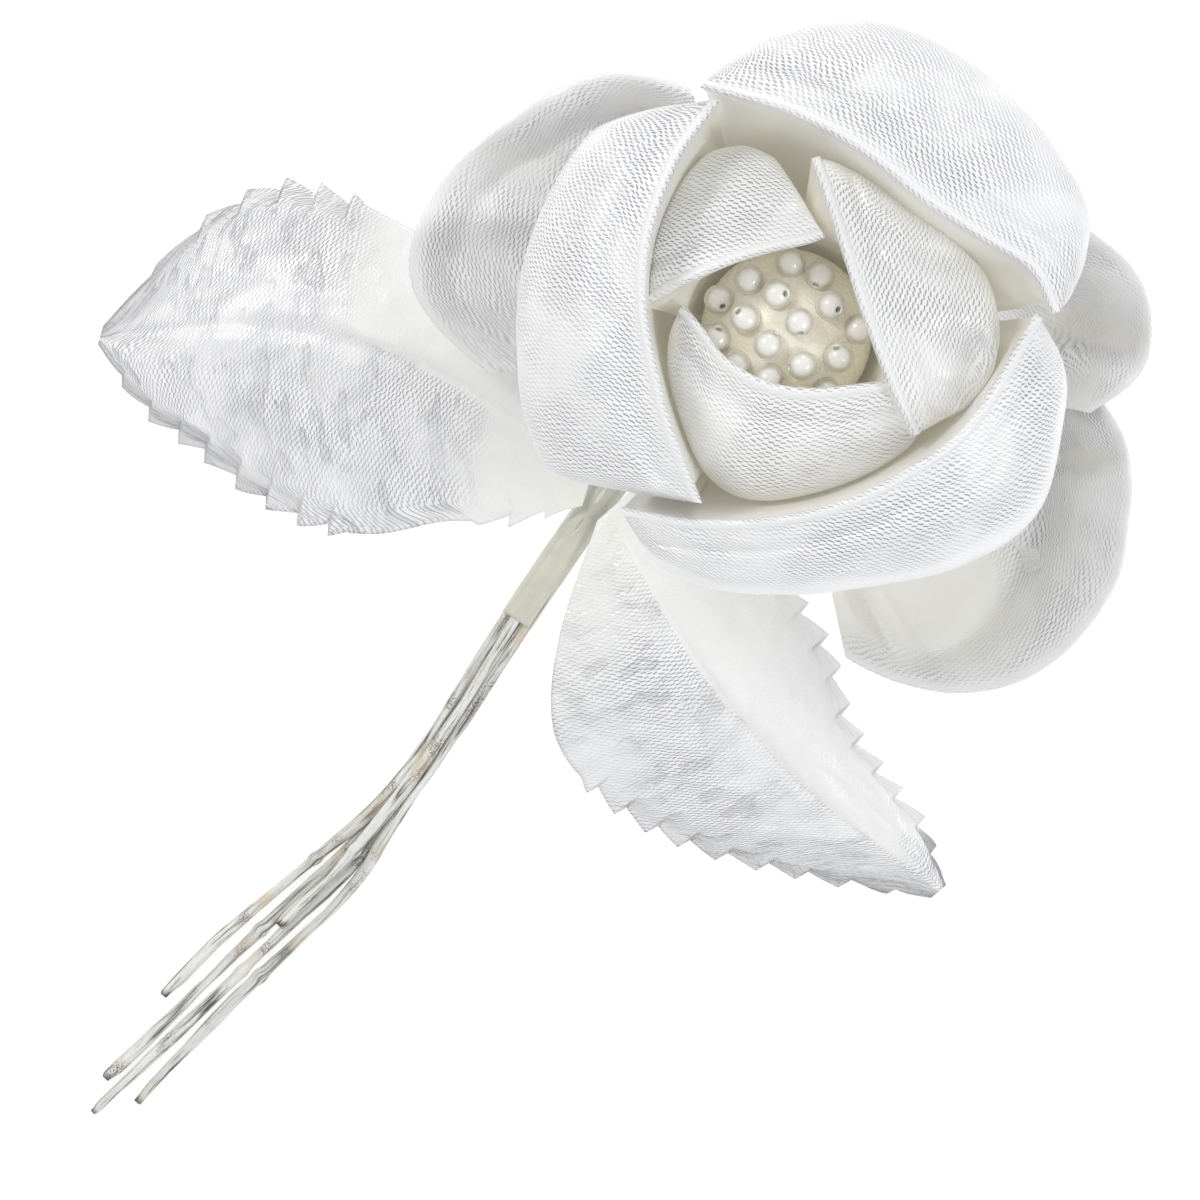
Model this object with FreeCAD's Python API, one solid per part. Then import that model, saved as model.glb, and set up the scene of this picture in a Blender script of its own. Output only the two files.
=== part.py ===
"""Satin rose on a wired stem, lying face up with its stem along the table.

Millimetres, +Z up, origin under the middle of the whole spray at table height.
The rose stands over FLOWER_AXIS; the stem leaves it sideways and its loose wires fan out at the far end.
"""
import FreeCAD
import Part
import math
import os

Vector = FreeCAD.Vector

# ---- stem --------------------------------------------------------------------------------------
WIRE_RADIUS = 0.5
WIRE_CORE_RADIUS = 0.22
WRAP_CLEARANCE = 0.02
WIRE_GAP = 0.08
SLEEVE_CLEARANCE = 0.03
SLEEVE_WALL = 0.13
SLEEVE_TABLE_GAP = 0.17
NECK_BEND_RADIUS = 2.9
ROW_GAP = 0.45
CROSSING_GAP = 0.155
TAIL_GAP = 0.1
RUN_SHARE = 0.45

# places along the bundle in plan, from under the flower to where the wires begin to part
FLOWER_AXIS = (15.2, 21.2)
BUNDLE_PLAN = [FLOWER_AXIS, (5.3, 14.9), (-1.1, 7.4), (-8.6, -3.9), (-15.2, -14.4), (-20.5, -21.5)]
SLEEVE_LAST = 3
PARTING = (-24.3, -26.1)
FAN_HEADING = -137.0

# wire: angle in the bundle ring, step in the flat row where the wires part, then (forward, sideways)
# places past the parting, and the number of the place after which its tail bends on its own
WIRES = [
    ("side", 162.0, -1.5, [(8.0, -2.6), (14.0, -2.9), (19.6, -2.4)], 0),
    ("upper", 234.0, -0.5, [(9.0, -0.9), (18.0, -0.7), (28.5, -0.55)], 0),
    ("long", 306.0, 0.5, [(9.0, 0.6), (19.0, 0.85), (31.4, 0.8)], None),
    ("lower", 18.0, 1.5, [(9.0, 2.1), (18.0, 2.2), (27.9, 2.8)], 0),
    ("short", 90.0, None, [(7.7, -0.15)], None),
]

# the five wires stand in a ring inside the sleeve, then lie in a row on the table, the short one on top
BUNDLE_RING_RADIUS = (WIRE_RADIUS + WIRE_GAP / 2.0) / math.sin(math.pi / len(WIRES))
SLEEVE_INNER_RADIUS = BUNDLE_RING_RADIUS + WIRE_RADIUS + SLEEVE_CLEARANCE
SLEEVE_OUTER_RADIUS = SLEEVE_INNER_RADIUS + SLEEVE_WALL
BUNDLE_Z = SLEEVE_OUTER_RADIUS + SLEEVE_TABLE_GAP
SLEEVE_TOP_Z = BUNDLE_Z + SLEEVE_OUTER_RADIUS
TABLE_WIRE_Z = WIRE_RADIUS
ROW_PITCH = 2.0 * WIRE_RADIUS + ROW_GAP
ROW_TOP_Z = TABLE_WIRE_Z + math.sqrt((2.0 * WIRE_RADIUS + CROSSING_GAP) ** 2 - (ROW_PITCH / 2.0) ** 2)

# ---- neck, cup and bead centre -----------------------------------------------------------------
NECK_RADIUS = 1.4
NECK_GAP = 0.1
NECK_STRAIGHT = 0.05
NECK_LENGTH = 1.6
NECK_PIVOT_Z = BUNDLE_Z + NECK_BEND_RADIUS + NECK_STRAIGHT + NECK_GAP + NECK_RADIUS
CUP_RADIUS = 8.0
CUP_HEIGHT = 1.9
CUP_BOTTOM_Z = NECK_PIVOT_Z + NECK_LENGTH
CUP_TOP_Z = CUP_BOTTOM_Z + CUP_HEIGHT
THREAD_RADIUS = 0.25
THREAD_TURNS = 4
THREAD_PITCH = 0.55
THREAD_CLEARANCE = 0.02

CORE_RADIUS = 6.8
CORE_FOOT_STEP = 2.65
CORE_FOOT_RADIUS = CORE_RADIUS - CORE_FOOT_STEP
CORE_LIFT = 1.0
CORE_Z = CUP_TOP_Z + CORE_LIFT + CORE_RADIUS
BED_CLEARANCE = 0.1
BED_THICKNESS = 0.7
BED_EDGE_RISE = 1.2
BED_INNER_RADIUS = CORE_RADIUS + BED_CLEARANCE
BED_OUTER_RADIUS = BED_INNER_RADIUS + BED_THICKNESS
PEARL_RADIUS = 1.35
PEARL_HOLE_RADIUS = 0.3
PEARL_CLEARANCE = 0.02
PEARL_SEAT_RADIUS = CORE_RADIUS + PEARL_RADIUS + PEARL_CLEARANCE
PEARL_PLACES = [
    (-0.9, 3.3), (-3.7, 1.2), (1.0, 0.8), (-1.7, -1.1), (1.3, -2.9), (3.8, 2.3), (4.5, -2.2), (2.9, 5.0),
    (0.3, 6.1), (-3.3, 4.6), (-5.9, 2.9), (-6.2, -0.5), (-4.5, -2.9), (-1.6, -4.1), (6.3, 0.3), (3.4, -5.2),
]

# ---- petals ------------------------------------------------------------------------------------
PETAL_FOOT_GAP = 0.3
PETAL_FOOT_Z = CUP_TOP_Z + PETAL_FOOT_GAP
LAYER_GAP = 0.45
PETAL_END_GAP = 1.6
PETAL_END_SHARE = 0.35
FOLD_THICKNESS = 0.6

INNER_FOOT_RADIUS = CORE_FOOT_RADIUS + LAYER_GAP
INNER_CORE_GAP = 2.1
INNER_HOLLOW_RADIUS = CORE_RADIUS + INNER_CORE_GAP
INNER_RIM_RISE = 5.7
INNER_RIM_Z = CORE_Z + CORE_RADIUS + INNER_RIM_RISE
INNER_LEAN_START = 0.64
INNER_RIM_END_DROP = 3.0

MIDDLE_FOOT_STEP = 0.4
MIDDLE_FOOT_RADIUS = CUP_RADIUS + MIDDLE_FOOT_STEP
MIDDLE_RIM_RISE = 4.0
MIDDLE_RIM_Z = INNER_RIM_Z + MIDDLE_RIM_RISE
MIDDLE_RIM_END_DROP = 2.5
MIDDLE_BULGE_DROP = 9.0
MIDDLE_BULGE_Z = MIDDLE_RIM_Z - MIDDLE_BULGE_DROP

OUTER_FOOT_GAP = 0.7
OUTER_FOOT_RADIUS = CUP_RADIUS + 2.0 * THREAD_RADIUS + OUTER_FOOT_GAP
OUTER_FOOT_RISE = 0.6
OUTER_FOOT_Z = CUP_BOTTOM_Z + OUTER_FOOT_RISE
OUTER_RIM_CURL = 1.6
OUTER_THICKNESS = 2.2

# name, start angle, end angle, angle of the rim's nearest point, its distance, how flat the rim runs
INNER_PETALS = [
    ("petal_inner_right", -45.0, 80.0, 17.5, 6.8, 0.94),
    ("petal_inner_top", 80.0, 169.0, 109.4, 6.4, 0.94),
    ("petal_inner_bottom", 169.0, 315.0, 262.0, 4.8, 0.55),
]
# name, start angle, end angle, how far the petal bulges out past the bead core at even steps
MIDDLE_PETALS = [
    ("petal_middle_left", 107.0, 236.0, [13.7, 16.7, 17.0, 16.7, 16.7, 17.0, 17.2, 14.0, 10.8]),
    ("petal_middle_top", 5.0, 107.0, [16.6, 21.2, 21.6, 21.8, 21.4, 19.6, 15.2]),
    ("petal_middle_bottom", 236.0, 365.0, [12.2, 16.0, 16.2, 18.2, 19.6, 19.2, 16.0]),
]
# name, start angle, end angle, rise of the rim above the foot, sag below a straight run,
# outer radii from start to end
OUTER_PETALS = [
    ("petal_outer_left", 104.0, 186.0, 7.6, 0.0, [22.0, 27.0, 31.0, 33.2, 27.0]),
    ("petal_outer_right", -14.0, 27.0, 5.1, 6.6, [29.0, 31.7, 31.2, 29.0, 25.0]),
    ("petal_outer_fold", -41.0, -14.0, 3.1, 6.2, [36.8, 34.6, 32.4, 30.6, 28.0]),
    ("petal_outer_bottom", -78.0, -41.0, 0.1, 4.9, [29.0, 32.4, 35.4, 36.8, 37.0]),
]
# room between the bead core and the middle ring's rim against angle, round the whole flower
RIM_ROOM = [(5, 14.7), (36, 9.2), (85, 11.2), (107, 12.6), (132, 9.1), (165, 5.9), (205, 5.5),
            (238, 9.6), (262, 9.8), (300, 8.8), (330, 10.0)]

# ---- leaves ------------------------------------------------------------------------------------
LEAF_THICKNESS = 0.5
LEAF_LIFT = 0.57
LEAF_ROOT_Z = SLEEVE_TOP_Z + LEAF_LIFT
LEAF_TIP_Z = 1.0
LEAF_COLUMNS = 6
LEAF_LEFT_LENGTH = 45.8
LEAF_LOWER_LENGTH = 45.2
RIB_RADIUS = 0.3
RIB_GAP = 0.15
RIB_SHARE = 0.8
RIB_POINTS = 5
# name, root, heading, length, sideways arch of the rib, rise of the rib, droop of the right and left
# edges, half widths right and left of the rib from root to tip
LEAVES = [
    ("leaf_left", (-1.9, 9.0), 163.9, LEAF_LEFT_LENGTH, -5.5, 4.4, 1.5, 6.2,
     [2.5, 7.0, 9.0, 10.5, 11.5, 12.8, 13.2, 9.5, 0.9], [2.0, 6.8, 10.9, 15.4, 16.6, 15.1, 11.5, 7.5, 0.9]),
    ("leaf_lower", (-0.2, 6.0), -49.3, LEAF_LOWER_LENGTH, -3.5, 2.8, 4.4, -1.5,
     [1.5, 9.5, 14.0, 14.4, 12.9, 10.6, 7.5, 4.2, 0.9], [3.5, 8.3, 10.5, 10.8, 10.0, 7.2, 5.7, 4.2, 0.9]),
]

OUT = "parts"


def export(name, shape):
    if not shape.isValid():
        raise ValueError(name + " is not a valid solid")
    shape.exportStep(os.path.join(OUT, name + ".step"))


# ---- general shapes ----------------------------------------------------------------------------
def skin(grid):
    surface = Part.BSplineSurface()
    surface.interpolate(grid)
    return surface


def border(surface):
    """The four edges of a surface, in the same order for every surface."""
    u_low, u_high, v_low, v_high = surface.bounds()
    curves = [surface.uIso(u_low), surface.uIso(u_high), surface.vIso(v_low), surface.vIso(v_high)]
    return [curve.toShape() for curve in curves]


def plate(upper, lower):
    """Closed solid between two point grids of the same size."""
    top = skin(upper)
    bottom = skin(lower)
    faces = [top.toShape(), bottom.toShape()]
    for upper_edge, lower_edge in zip(border(top), border(bottom)):
        faces.append(Part.makeRuledSurface(upper_edge, lower_edge))
    shell = Part.makeShell(faces)
    shell.sewShape()
    solid = Part.makeSolid(shell)
    if solid.Volume < 0:
        solid.reverse()
    return solid


def rounded_path(points, radii=None):
    """Straight runs joined by tangent arcs."""
    edges = []
    start = points[0]
    for index in range(1, len(points) - 1):
        before = (points[index] - points[index - 1])
        after = (points[index + 1] - points[index])
        turn = before.getAngle(after)
        half = math.tan(turn / 2.0)
        radius = RUN_SHARE * min(before.Length, after.Length) / half
        if radii and index in radii:
            radius = radii[index]
        back = radius * half
        before.normalize()
        after.normalize()
        corner = points[index]
        arc_start = corner - before * back
        arc_end = corner + after * back
        inward = after - before
        inward.normalize()
        centre = corner + inward * (radius / math.cos(turn / 2.0))
        middle = centre - inward * radius
        edges.append(Part.LineSegment(start, arc_start).toShape())
        edges.append(Part.Arc(arc_start, middle, arc_end).toShape())
        start = arc_end
    edges.append(Part.LineSegment(start, points[-1]).toShape())
    return Part.Wire(edges)


def rod(path, radius):
    """Round rod along a path."""
    first = path.OrderedEdges[0]
    start = first.valueAt(first.FirstParameter)
    heading = first.tangentAt(first.FirstParameter)
    circle = Part.Wire([Part.Circle(start, heading, radius).toShape()])
    return path.makePipeShell([circle], True, False)


def tube(path, outer, inner):
    return rod(path, outer).cut(rod(path, inner))


# ---- petals ------------------------------------------------------------------------------------
def ease(value):
    return value * value * (3.0 - 2.0 * value)


def through(knots, place):
    """Smooth curve through (place, value) knots."""
    last = len(knots) - 1
    index = 0
    while index < last - 1 and place > knots[index + 1][0]:
        index += 1
    slopes = []
    for corner in (index, index + 1):
        before = knots[max(corner - 1, 0)]
        after = knots[min(corner + 1, last)]
        slopes.append((after[1] - before[1]) / (after[0] - before[0]))
    low, low_value = knots[index]
    high, high_value = knots[index + 1]
    width = high - low
    share = (place - low) / width
    rest = 1.0 - share
    return (ease(rest) * low_value + ease(share) * high_value
            + width * share * rest * (rest * slopes[0] - share * slopes[1]))


def along_list(values, share):
    """Smooth value at a share of the way along a list of even steps."""
    return through(list(enumerate(values)), share * (len(values) - 1))


def rim_radius(angle):
    """Radius of the middle ring's rim at an angle, smooth all the way round."""
    first = RIM_ROOM[0][0]
    turn = (angle - first) % 360.0 + first
    before = [(place - 360.0, room) for place, room in RIM_ROOM[-2:]]
    after = [(place + 360.0, room) for place, room in RIM_ROOM[:2]]
    return CORE_RADIUS + through(before + RIM_ROOM + after, turn)


def on_flower(angle, radius, height):
    turn = math.radians(angle)
    return Vector(FLOWER_AXIS[0] + radius * math.cos(turn), FLOWER_AXIS[1] + radius * math.sin(turn), height)


def wall_radius(angle, height):
    """Face between the inner and the middle petals."""
    rise = (height - PETAL_FOOT_Z) / (MIDDLE_RIM_Z - PETAL_FOOT_Z)
    rise = min(max(rise, 0.0), 1.0)
    return MIDDLE_FOOT_RADIUS + (rim_radius(angle) - MIDDLE_FOOT_RADIUS) * (1.0 - (1.0 - rise) ** 2.2)


def end_fade(share):
    """One along the middle of a petal, easing to zero at both of its ends."""
    return ease(min(min(share, 1.0 - share) / PETAL_END_SHARE, 1.0))


def petal_solid(start, end, gap, faces, columns=12, rows=10):
    """Petal between two angles; faces(share, angle, rise) gives inner and outer (radius, height)."""
    inner = []
    outer = []
    for column in range(columns + 1):
        share = column / columns
        angle = start + gap / 2.0 + (end - start - gap) * share
        inner_line = []
        outer_line = []
        for row in range(rows + 1):
            inside, outside = faces(share, angle, row / rows)
            inner_line.append(on_flower(angle, *inside))
            outer_line.append(on_flower(angle, *outside))
        inner.append(inner_line)
        outer.append(outer_line)
    return plate(outer, inner)


def inner_petal(start, end, nearest_angle, nearest, flatness):
    def faces(share, angle, rise):
        fade = end_fade(share)
        rim_height = INNER_RIM_Z - INNER_RIM_END_DROP * (1.0 - fade)
        height = PETAL_FOOT_Z + (rim_height - PETAL_FOOT_Z) * rise
        outside = wall_radius(angle, height) - LAYER_GAP
        rim = nearest / math.cos(math.radians(flatness * (angle - nearest_angle)))
        rim = min(rim, outside - FOLD_THICKNESS)
        hollow = min(INNER_HOLLOW_RADIUS, outside - FOLD_THICKNESS)
        opening = math.sin(math.pi / 2.0 * min(rise / INNER_LEAN_START, 1.0))
        lower = INNER_FOOT_RADIUS + (hollow - INNER_FOOT_RADIUS) * opening
        lean = ease(max(rise - INNER_LEAN_START, 0.0) / (1.0 - INNER_LEAN_START))
        inside = lower + (rim - lower) * lean
        top = rim + FOLD_THICKNESS
        round_over = max(rise - 0.6, 0.0) / 0.4
        outside = outside + (top - outside) * round_over ** 2.2
        return (inside, height), (max(outside, inside + FOLD_THICKNESS), height)
    return petal_solid(start, end, PETAL_END_GAP * 2.0, faces)


def middle_petal(start, end, bulges):
    def faces(share, angle, rise):
        rim_height = MIDDLE_RIM_Z - MIDDLE_RIM_END_DROP * (1.0 - end_fade(share))
        height = PETAL_FOOT_Z + (rim_height - PETAL_FOOT_Z) * rise
        inside = wall_radius(angle, height)
        rim = wall_radius(angle, rim_height) + FOLD_THICKNESS
        foot = wall_radius(angle, PETAL_FOOT_Z) + FOLD_THICKNESS
        belly = CORE_RADIUS + along_list(bulges, share)
        sweep = math.pi * (rise - 0.5)
        if sweep > 0.0:
            outside = rim + (belly - rim) * math.cos(sweep)
            outer_height = MIDDLE_BULGE_Z + (rim_height - MIDDLE_BULGE_Z) * math.sin(sweep)
        else:
            outside = foot + (belly - foot) * math.cos(sweep)
            outer_height = MIDDLE_BULGE_Z + (MIDDLE_BULGE_Z - PETAL_FOOT_Z) * math.sin(sweep)
        return (inside, height), (outside, outer_height)
    return petal_solid(start, end, PETAL_END_GAP, faces)


def outer_petal(start, end, rim_rise, sag, outer_radii):
    def faces(share, angle, rise):
        reach = OUTER_FOOT_RADIUS + (along_list(outer_radii, share) - OUTER_FOOT_RADIUS) * rise
        run = OUTER_FOOT_Z + rim_rise * rise ** OUTER_RIM_CURL
        top = run - sag * math.sin(math.pi * rise)
        thickness = FOLD_THICKNESS + (OUTER_THICKNESS - FOLD_THICKNESS) * math.sin(math.pi * rise)
        return (reach, top), (reach, top - thickness)
    return petal_solid(start, end, PETAL_END_GAP, faces)


# ---- bead centre, cup and neck -----------------------------------------------------------------
def bead_core():
    centre = on_flower(0.0, 0.0, CORE_Z)
    ball = Part.makeSphere(CORE_RADIUS, centre)
    foot_height = CORE_Z - CUP_TOP_Z
    foot = Part.makeCylinder(CORE_FOOT_RADIUS, foot_height, on_flower(0.0, 0.0, CUP_TOP_Z))
    body = ball.fuse(foot)
    below = Part.makeBox(40, 40, 20, on_flower(0.0, 0.0, CUP_TOP_Z) - Vector(20, 20, 20))
    return body.cut(below)


def pearl_centres():
    centres = []
    for across, along in PEARL_PLACES:
        height = CORE_Z + math.sqrt(PEARL_SEAT_RADIUS ** 2 - across ** 2 - along ** 2)
        centres.append(Vector(FLOWER_AXIS[0] + across, FLOWER_AXIS[1] + along, height))
    return centres


def bead_bed():
    centre = on_flower(0.0, 0.0, CORE_Z)
    shell = Part.makeSphere(BED_OUTER_RADIUS, centre).cut(Part.makeSphere(BED_INNER_RADIUS, centre))
    below = Part.makeBox(40, 40, 20, centre - Vector(20, 20, 20 - BED_EDGE_RISE))
    cap = shell.cut(below)
    for place in pearl_centres():
        cap = cap.cut(Part.makeSphere(PEARL_RADIUS + PEARL_CLEARANCE, place))
    return cap


def pearl(centre, hole_axis):
    """Drilled bead: its half section turned about the hole."""
    side = hole_axis.cross(Vector(0.0, 0.0, 1.0)).normalize()
    rise = math.sqrt(PEARL_RADIUS ** 2 - PEARL_HOLE_RADIUS ** 2)
    top = centre + hole_axis * rise + side * PEARL_HOLE_RADIUS
    bottom = centre - hole_axis * rise + side * PEARL_HOLE_RADIUS
    outline = Part.Arc(top, centre + side * PEARL_RADIUS, bottom).toShape()
    hole_wall = Part.LineSegment(bottom, top).toShape()
    section = Part.Face(Part.Wire([outline, hole_wall]))
    return section.revolve(centre, hole_axis, 360.0)


def pearls():
    beads = []
    for index, place in enumerate(pearl_centres()):
        turn = math.radians(137.5 * index)
        lean = math.radians(35.0 + 9.0 * (index % 5))
        hole_axis = Vector(math.cos(turn) * math.sin(lean), math.sin(turn) * math.sin(lean), math.cos(lean))
        beads.append(pearl(place, hole_axis))
    return Part.makeCompound(beads)


def base_cup():
    height = CUP_TOP_Z - CUP_BOTTOM_Z
    cup = Part.makeCylinder(CUP_RADIUS, height, on_flower(0.0, 0.0, CUP_BOTTOM_Z))
    edges = [edge for edge in cup.Edges if len(edge.Vertexes) == 1]
    return cup.makeFillet(height * 0.3, edges)


def neck():
    pivot = on_flower(0.0, 0.0, NECK_PIVOT_Z)
    ball = Part.makeSphere(NECK_RADIUS, pivot)
    shank = Part.makeCylinder(NECK_RADIUS, CUP_BOTTOM_Z - NECK_PIVOT_Z, pivot)
    return ball.fuse(shank).removeSplitter()


def thread():
    rings = []
    for turn in range(THREAD_TURNS):
        height = CUP_TOP_Z - THREAD_RADIUS + THREAD_PITCH * (turn - THREAD_TURNS + 0.6)
        ring_radius = CUP_RADIUS + THREAD_RADIUS + THREAD_CLEARANCE
        rings.append(Part.makeTorus(ring_radius, THREAD_RADIUS, on_flower(0.0, 0.0, height)))
    return Part.makeCompound(rings)


# ---- stem --------------------------------------------------------------------------------------
def heading_between(start, end):
    return math.atan2(end[1] - start[1], end[0] - start[0])


def plan_corner(points, index, sideways):
    """Corner of a plan polyline moved sideways, to the left of its way, with its runs kept parallel."""
    before = heading_between(points[max(index - 1, 0)], points[max(index, 1)])
    after = heading_between(points[min(index, len(points) - 2)], points[min(index + 1, len(points) - 1)])
    heading = (before + after) / 2.0
    step = sideways / math.cos((after - before) / 2.0)
    return points[index][0] - math.sin(heading) * step, points[index][1] + math.cos(heading) * step


def strand_start(sideways, upward, last):
    """A strand of the bundle: down the neck, round the bend, then along the table."""
    first_heading = heading_between(BUNDLE_PLAN[0], BUNDLE_PLAN[1])
    lean = Vector(math.cos(first_heading), math.sin(first_heading), 0.0) * upward
    foot = Vector(*plan_corner(BUNDLE_PLAN, 0, sideways), BUNDLE_Z + upward) + lean
    top = Vector(foot.x, foot.y, NECK_PIVOT_Z - NECK_RADIUS - NECK_GAP)
    points = [top, foot]
    radii = {1: NECK_BEND_RADIUS - upward}
    for index in range(1, last + 1):
        points.append(Vector(*plan_corner(BUNDLE_PLAN, index, sideways), BUNDLE_Z + upward))
        if index < len(BUNDLE_PLAN) - 1:
            radii[index + 1] = strand_radius(index, sideways)
    return points, radii


def strand_radius(index, sideways):
    """Bend radius at a corner, so that the strands of the bundle bend about one centre."""
    before = heading_between(BUNDLE_PLAN[index - 1], BUNDLE_PLAN[index])
    after = heading_between(BUNDLE_PLAN[index], BUNDLE_PLAN[index + 1])
    turn = after - before
    run = min(math.dist(BUNDLE_PLAN[index - 1], BUNDLE_PLAN[index]),
              math.dist(BUNDLE_PLAN[index], BUNDLE_PLAN[index + 1]))
    middle = RUN_SHARE * run / math.tan(abs(turn) / 2.0)
    return middle - math.copysign(1.0, turn) * sideways


def fan_place(forward, sideways, height):
    """Place past the parting of the wires."""
    heading = math.radians(FAN_HEADING)
    across = PARTING[0] + forward * math.cos(heading) - sideways * math.sin(heading)
    along = PARTING[1] + forward * math.sin(heading) + sideways * math.cos(heading)
    return Vector(across, along, height)


def wire_route(ring_angle, row_step, fan):
    turn = math.radians(ring_angle)
    sideways = BUNDLE_RING_RADIUS * math.cos(turn)
    upward = BUNDLE_RING_RADIUS * math.sin(turn)
    points, radii = strand_start(sideways, upward, len(BUNDLE_PLAN) - 1)
    height = ROW_TOP_Z if row_step is None else TABLE_WIRE_Z
    points.append(fan_place(0.0, ROW_PITCH * (row_step or 0.0), height))
    for forward, aside in fan:
        points.append(fan_place(forward, aside, height))
    return points, radii


def wire_pieces(points, radii):
    path = rounded_path(points, radii)
    wrap = tube(path, WIRE_RADIUS, WIRE_CORE_RADIUS + WRAP_CLEARANCE)
    core = rod(path, WIRE_CORE_RADIUS)
    return wrap, core


def export_wire(name, ring_angle, row_step, fan, tail_after):
    points, radii = wire_route(ring_angle, row_step, fan)
    pieces = [("wire_" + name, points, radii)]
    if tail_after is not None:
        last = len(points) - len(fan) + tail_after
        hinge = (points[last] + points[last + 1]) * 0.5
        step = points[last + 1] - points[last]
        step.normalize()
        near = points[:last + 1] + [hinge - step * (TAIL_GAP / 2.0)]
        tail = [hinge + step * (TAIL_GAP / 2.0)] + points[last + 1:]
        pieces = [("wire_" + name, near, radii), ("tail_" + name, tail, {})]
        print("tail_%s hinge at %s, axis %s" % (name, hinge + Vector(0, 0, WIRE_RADIUS), (step.y, -step.x)))
    for part_name, part_points, part_radii in pieces:
        wrap, core = wire_pieces(part_points, part_radii)
        export(part_name + "_wrap", wrap)
        export(part_name + "_core", core)


def stem_sleeve():
    points, radii = strand_start(0.0, 0.0, SLEEVE_LAST)
    path = rounded_path(points, radii)
    return tube(path, SLEEVE_OUTER_RADIUS, SLEEVE_INNER_RADIUS)


# ---- leaves ------------------------------------------------------------------------------------
def leaf_point(leaf, share, across):
    """Point of a leaf's middle surface: share from root to tip, across from -1 (right) to 1 (left)."""
    root, heading, length, arch, rib_rise, droop_right, droop_left, right, left = leaf[1:]
    turn = math.radians(heading)
    swell = math.sin(math.pi * share)
    half = along_list(left if across > 0 else right, share)
    droop = droop_left if across > 0 else droop_right
    aside = arch * swell + half * across
    rib_height = LEAF_ROOT_Z + (LEAF_TIP_Z - LEAF_ROOT_Z) * share + rib_rise * swell
    height = rib_height - droop * abs(across) ** 1.5 * swell ** 1.5
    return Vector(root[0] + length * share * math.cos(turn) - aside * math.sin(turn),
                  root[1] + length * share * math.sin(turn) + aside * math.cos(turn), height)


def leaf_blade(leaf):
    lift = Vector(0.0, 0.0, LEAF_THICKNESS / 2.0)
    rows = len(leaf[-1])
    upper = []
    lower = []
    for row in range(rows):
        share = row / (rows - 1)
        line = [leaf_point(leaf, share, -1.0 + 2.0 * column / LEAF_COLUMNS) for column in range(LEAF_COLUMNS + 1)]
        upper.append([point + lift for point in line])
        lower.append([point - lift for point in line])
    return plate(upper, lower)


def leaf_rib(leaf):
    drop = Vector(0.0, 0.0, LEAF_THICKNESS / 2.0 + RIB_GAP + RIB_RADIUS)
    points = [leaf_point(leaf, RIB_SHARE * index / (RIB_POINTS - 1), 0.0) - drop for index in range(RIB_POINTS)]
    return rod(rounded_path(points), RIB_RADIUS)


def main():
    os.makedirs(OUT, exist_ok=True)
    for name, *shape in INNER_PETALS:
        export(name, inner_petal(*shape))
    for name, *shape in MIDDLE_PETALS:
        export(name, middle_petal(*shape))
    for name, *shape in OUTER_PETALS:
        export(name, outer_petal(*shape))
    export("bead_core", bead_core())
    export("bead_bed", bead_bed())
    export("pearls", pearls())
    export("base_cup", base_cup())
    export("neck", neck())
    export("binding_thread", thread())
    export("stem_sleeve", stem_sleeve())
    for wire in WIRES:
        export_wire(*wire)
    for leaf in LEAVES:
        export(leaf[0], leaf_blade(leaf))
        export(leaf[0] + "_rib", leaf_rib(leaf))


main()
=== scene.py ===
import bpy
import bmesh
import math
from mathutils import Matrix, Vector, noise


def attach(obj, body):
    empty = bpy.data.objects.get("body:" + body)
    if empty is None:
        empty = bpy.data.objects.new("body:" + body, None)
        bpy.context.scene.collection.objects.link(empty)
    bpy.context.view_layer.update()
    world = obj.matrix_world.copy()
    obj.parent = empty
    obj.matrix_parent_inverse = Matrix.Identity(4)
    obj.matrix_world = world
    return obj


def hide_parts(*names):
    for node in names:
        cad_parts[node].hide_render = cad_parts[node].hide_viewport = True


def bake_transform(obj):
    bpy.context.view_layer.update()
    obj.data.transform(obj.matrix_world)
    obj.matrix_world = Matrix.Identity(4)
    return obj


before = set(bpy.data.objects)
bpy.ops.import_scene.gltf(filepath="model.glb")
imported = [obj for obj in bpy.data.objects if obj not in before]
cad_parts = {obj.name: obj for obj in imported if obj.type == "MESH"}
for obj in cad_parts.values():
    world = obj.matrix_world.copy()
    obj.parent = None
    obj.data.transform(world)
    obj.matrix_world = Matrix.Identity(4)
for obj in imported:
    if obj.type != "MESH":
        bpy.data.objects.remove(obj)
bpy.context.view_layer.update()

# Millimetres throughout; every mesh is scaled to metres as it is made.
MM = 0.001
FLOWER = Vector((15.2, 21.2, 0.0))  # the flower's axis

# folded petals: shares of the way from the inner foot up to the fold, round it and down to the outer foot
FOLD_START = 0.28
FOLD_MIDDLE = 0.31
FOLD_END = 0.34
FOLD_RADIUS = 0.45
FOLDED_FOOT_Z = 10.4
INNER_LEAN_START = 0.64  # share of the inside's height from which it leans to the rim
LAP_START_Z = 26.0

# outer petals: shares of the way out along the top, round the rim and back underneath
RIM_START = 0.48
RIM_END = 0.56
OUTER_FOOT_RADIUS = 9.3
OUTER_LOWEST_Z = 1.0

# leaves
LEAF_TEETH = 15  # from root to tip
LEAF_TOOTH = 1.25
LEAF_THICKNESS = 0.22
LEAF_ROOT_Z = 3.9
LEAF_TIP_Z = 1.0
LEAF_LOWEST_Z = 0.35

# bead centre
CORE_Z = 17.5
PEARL_RADIUS = 1.35
PEARL_SEAT_RADIUS = 8.17
PEARL_HOLE_RADIUS = 0.3
PEARL_TURN = 137.5  # degrees from the lean of one pearl's hole to the next one's

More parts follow.
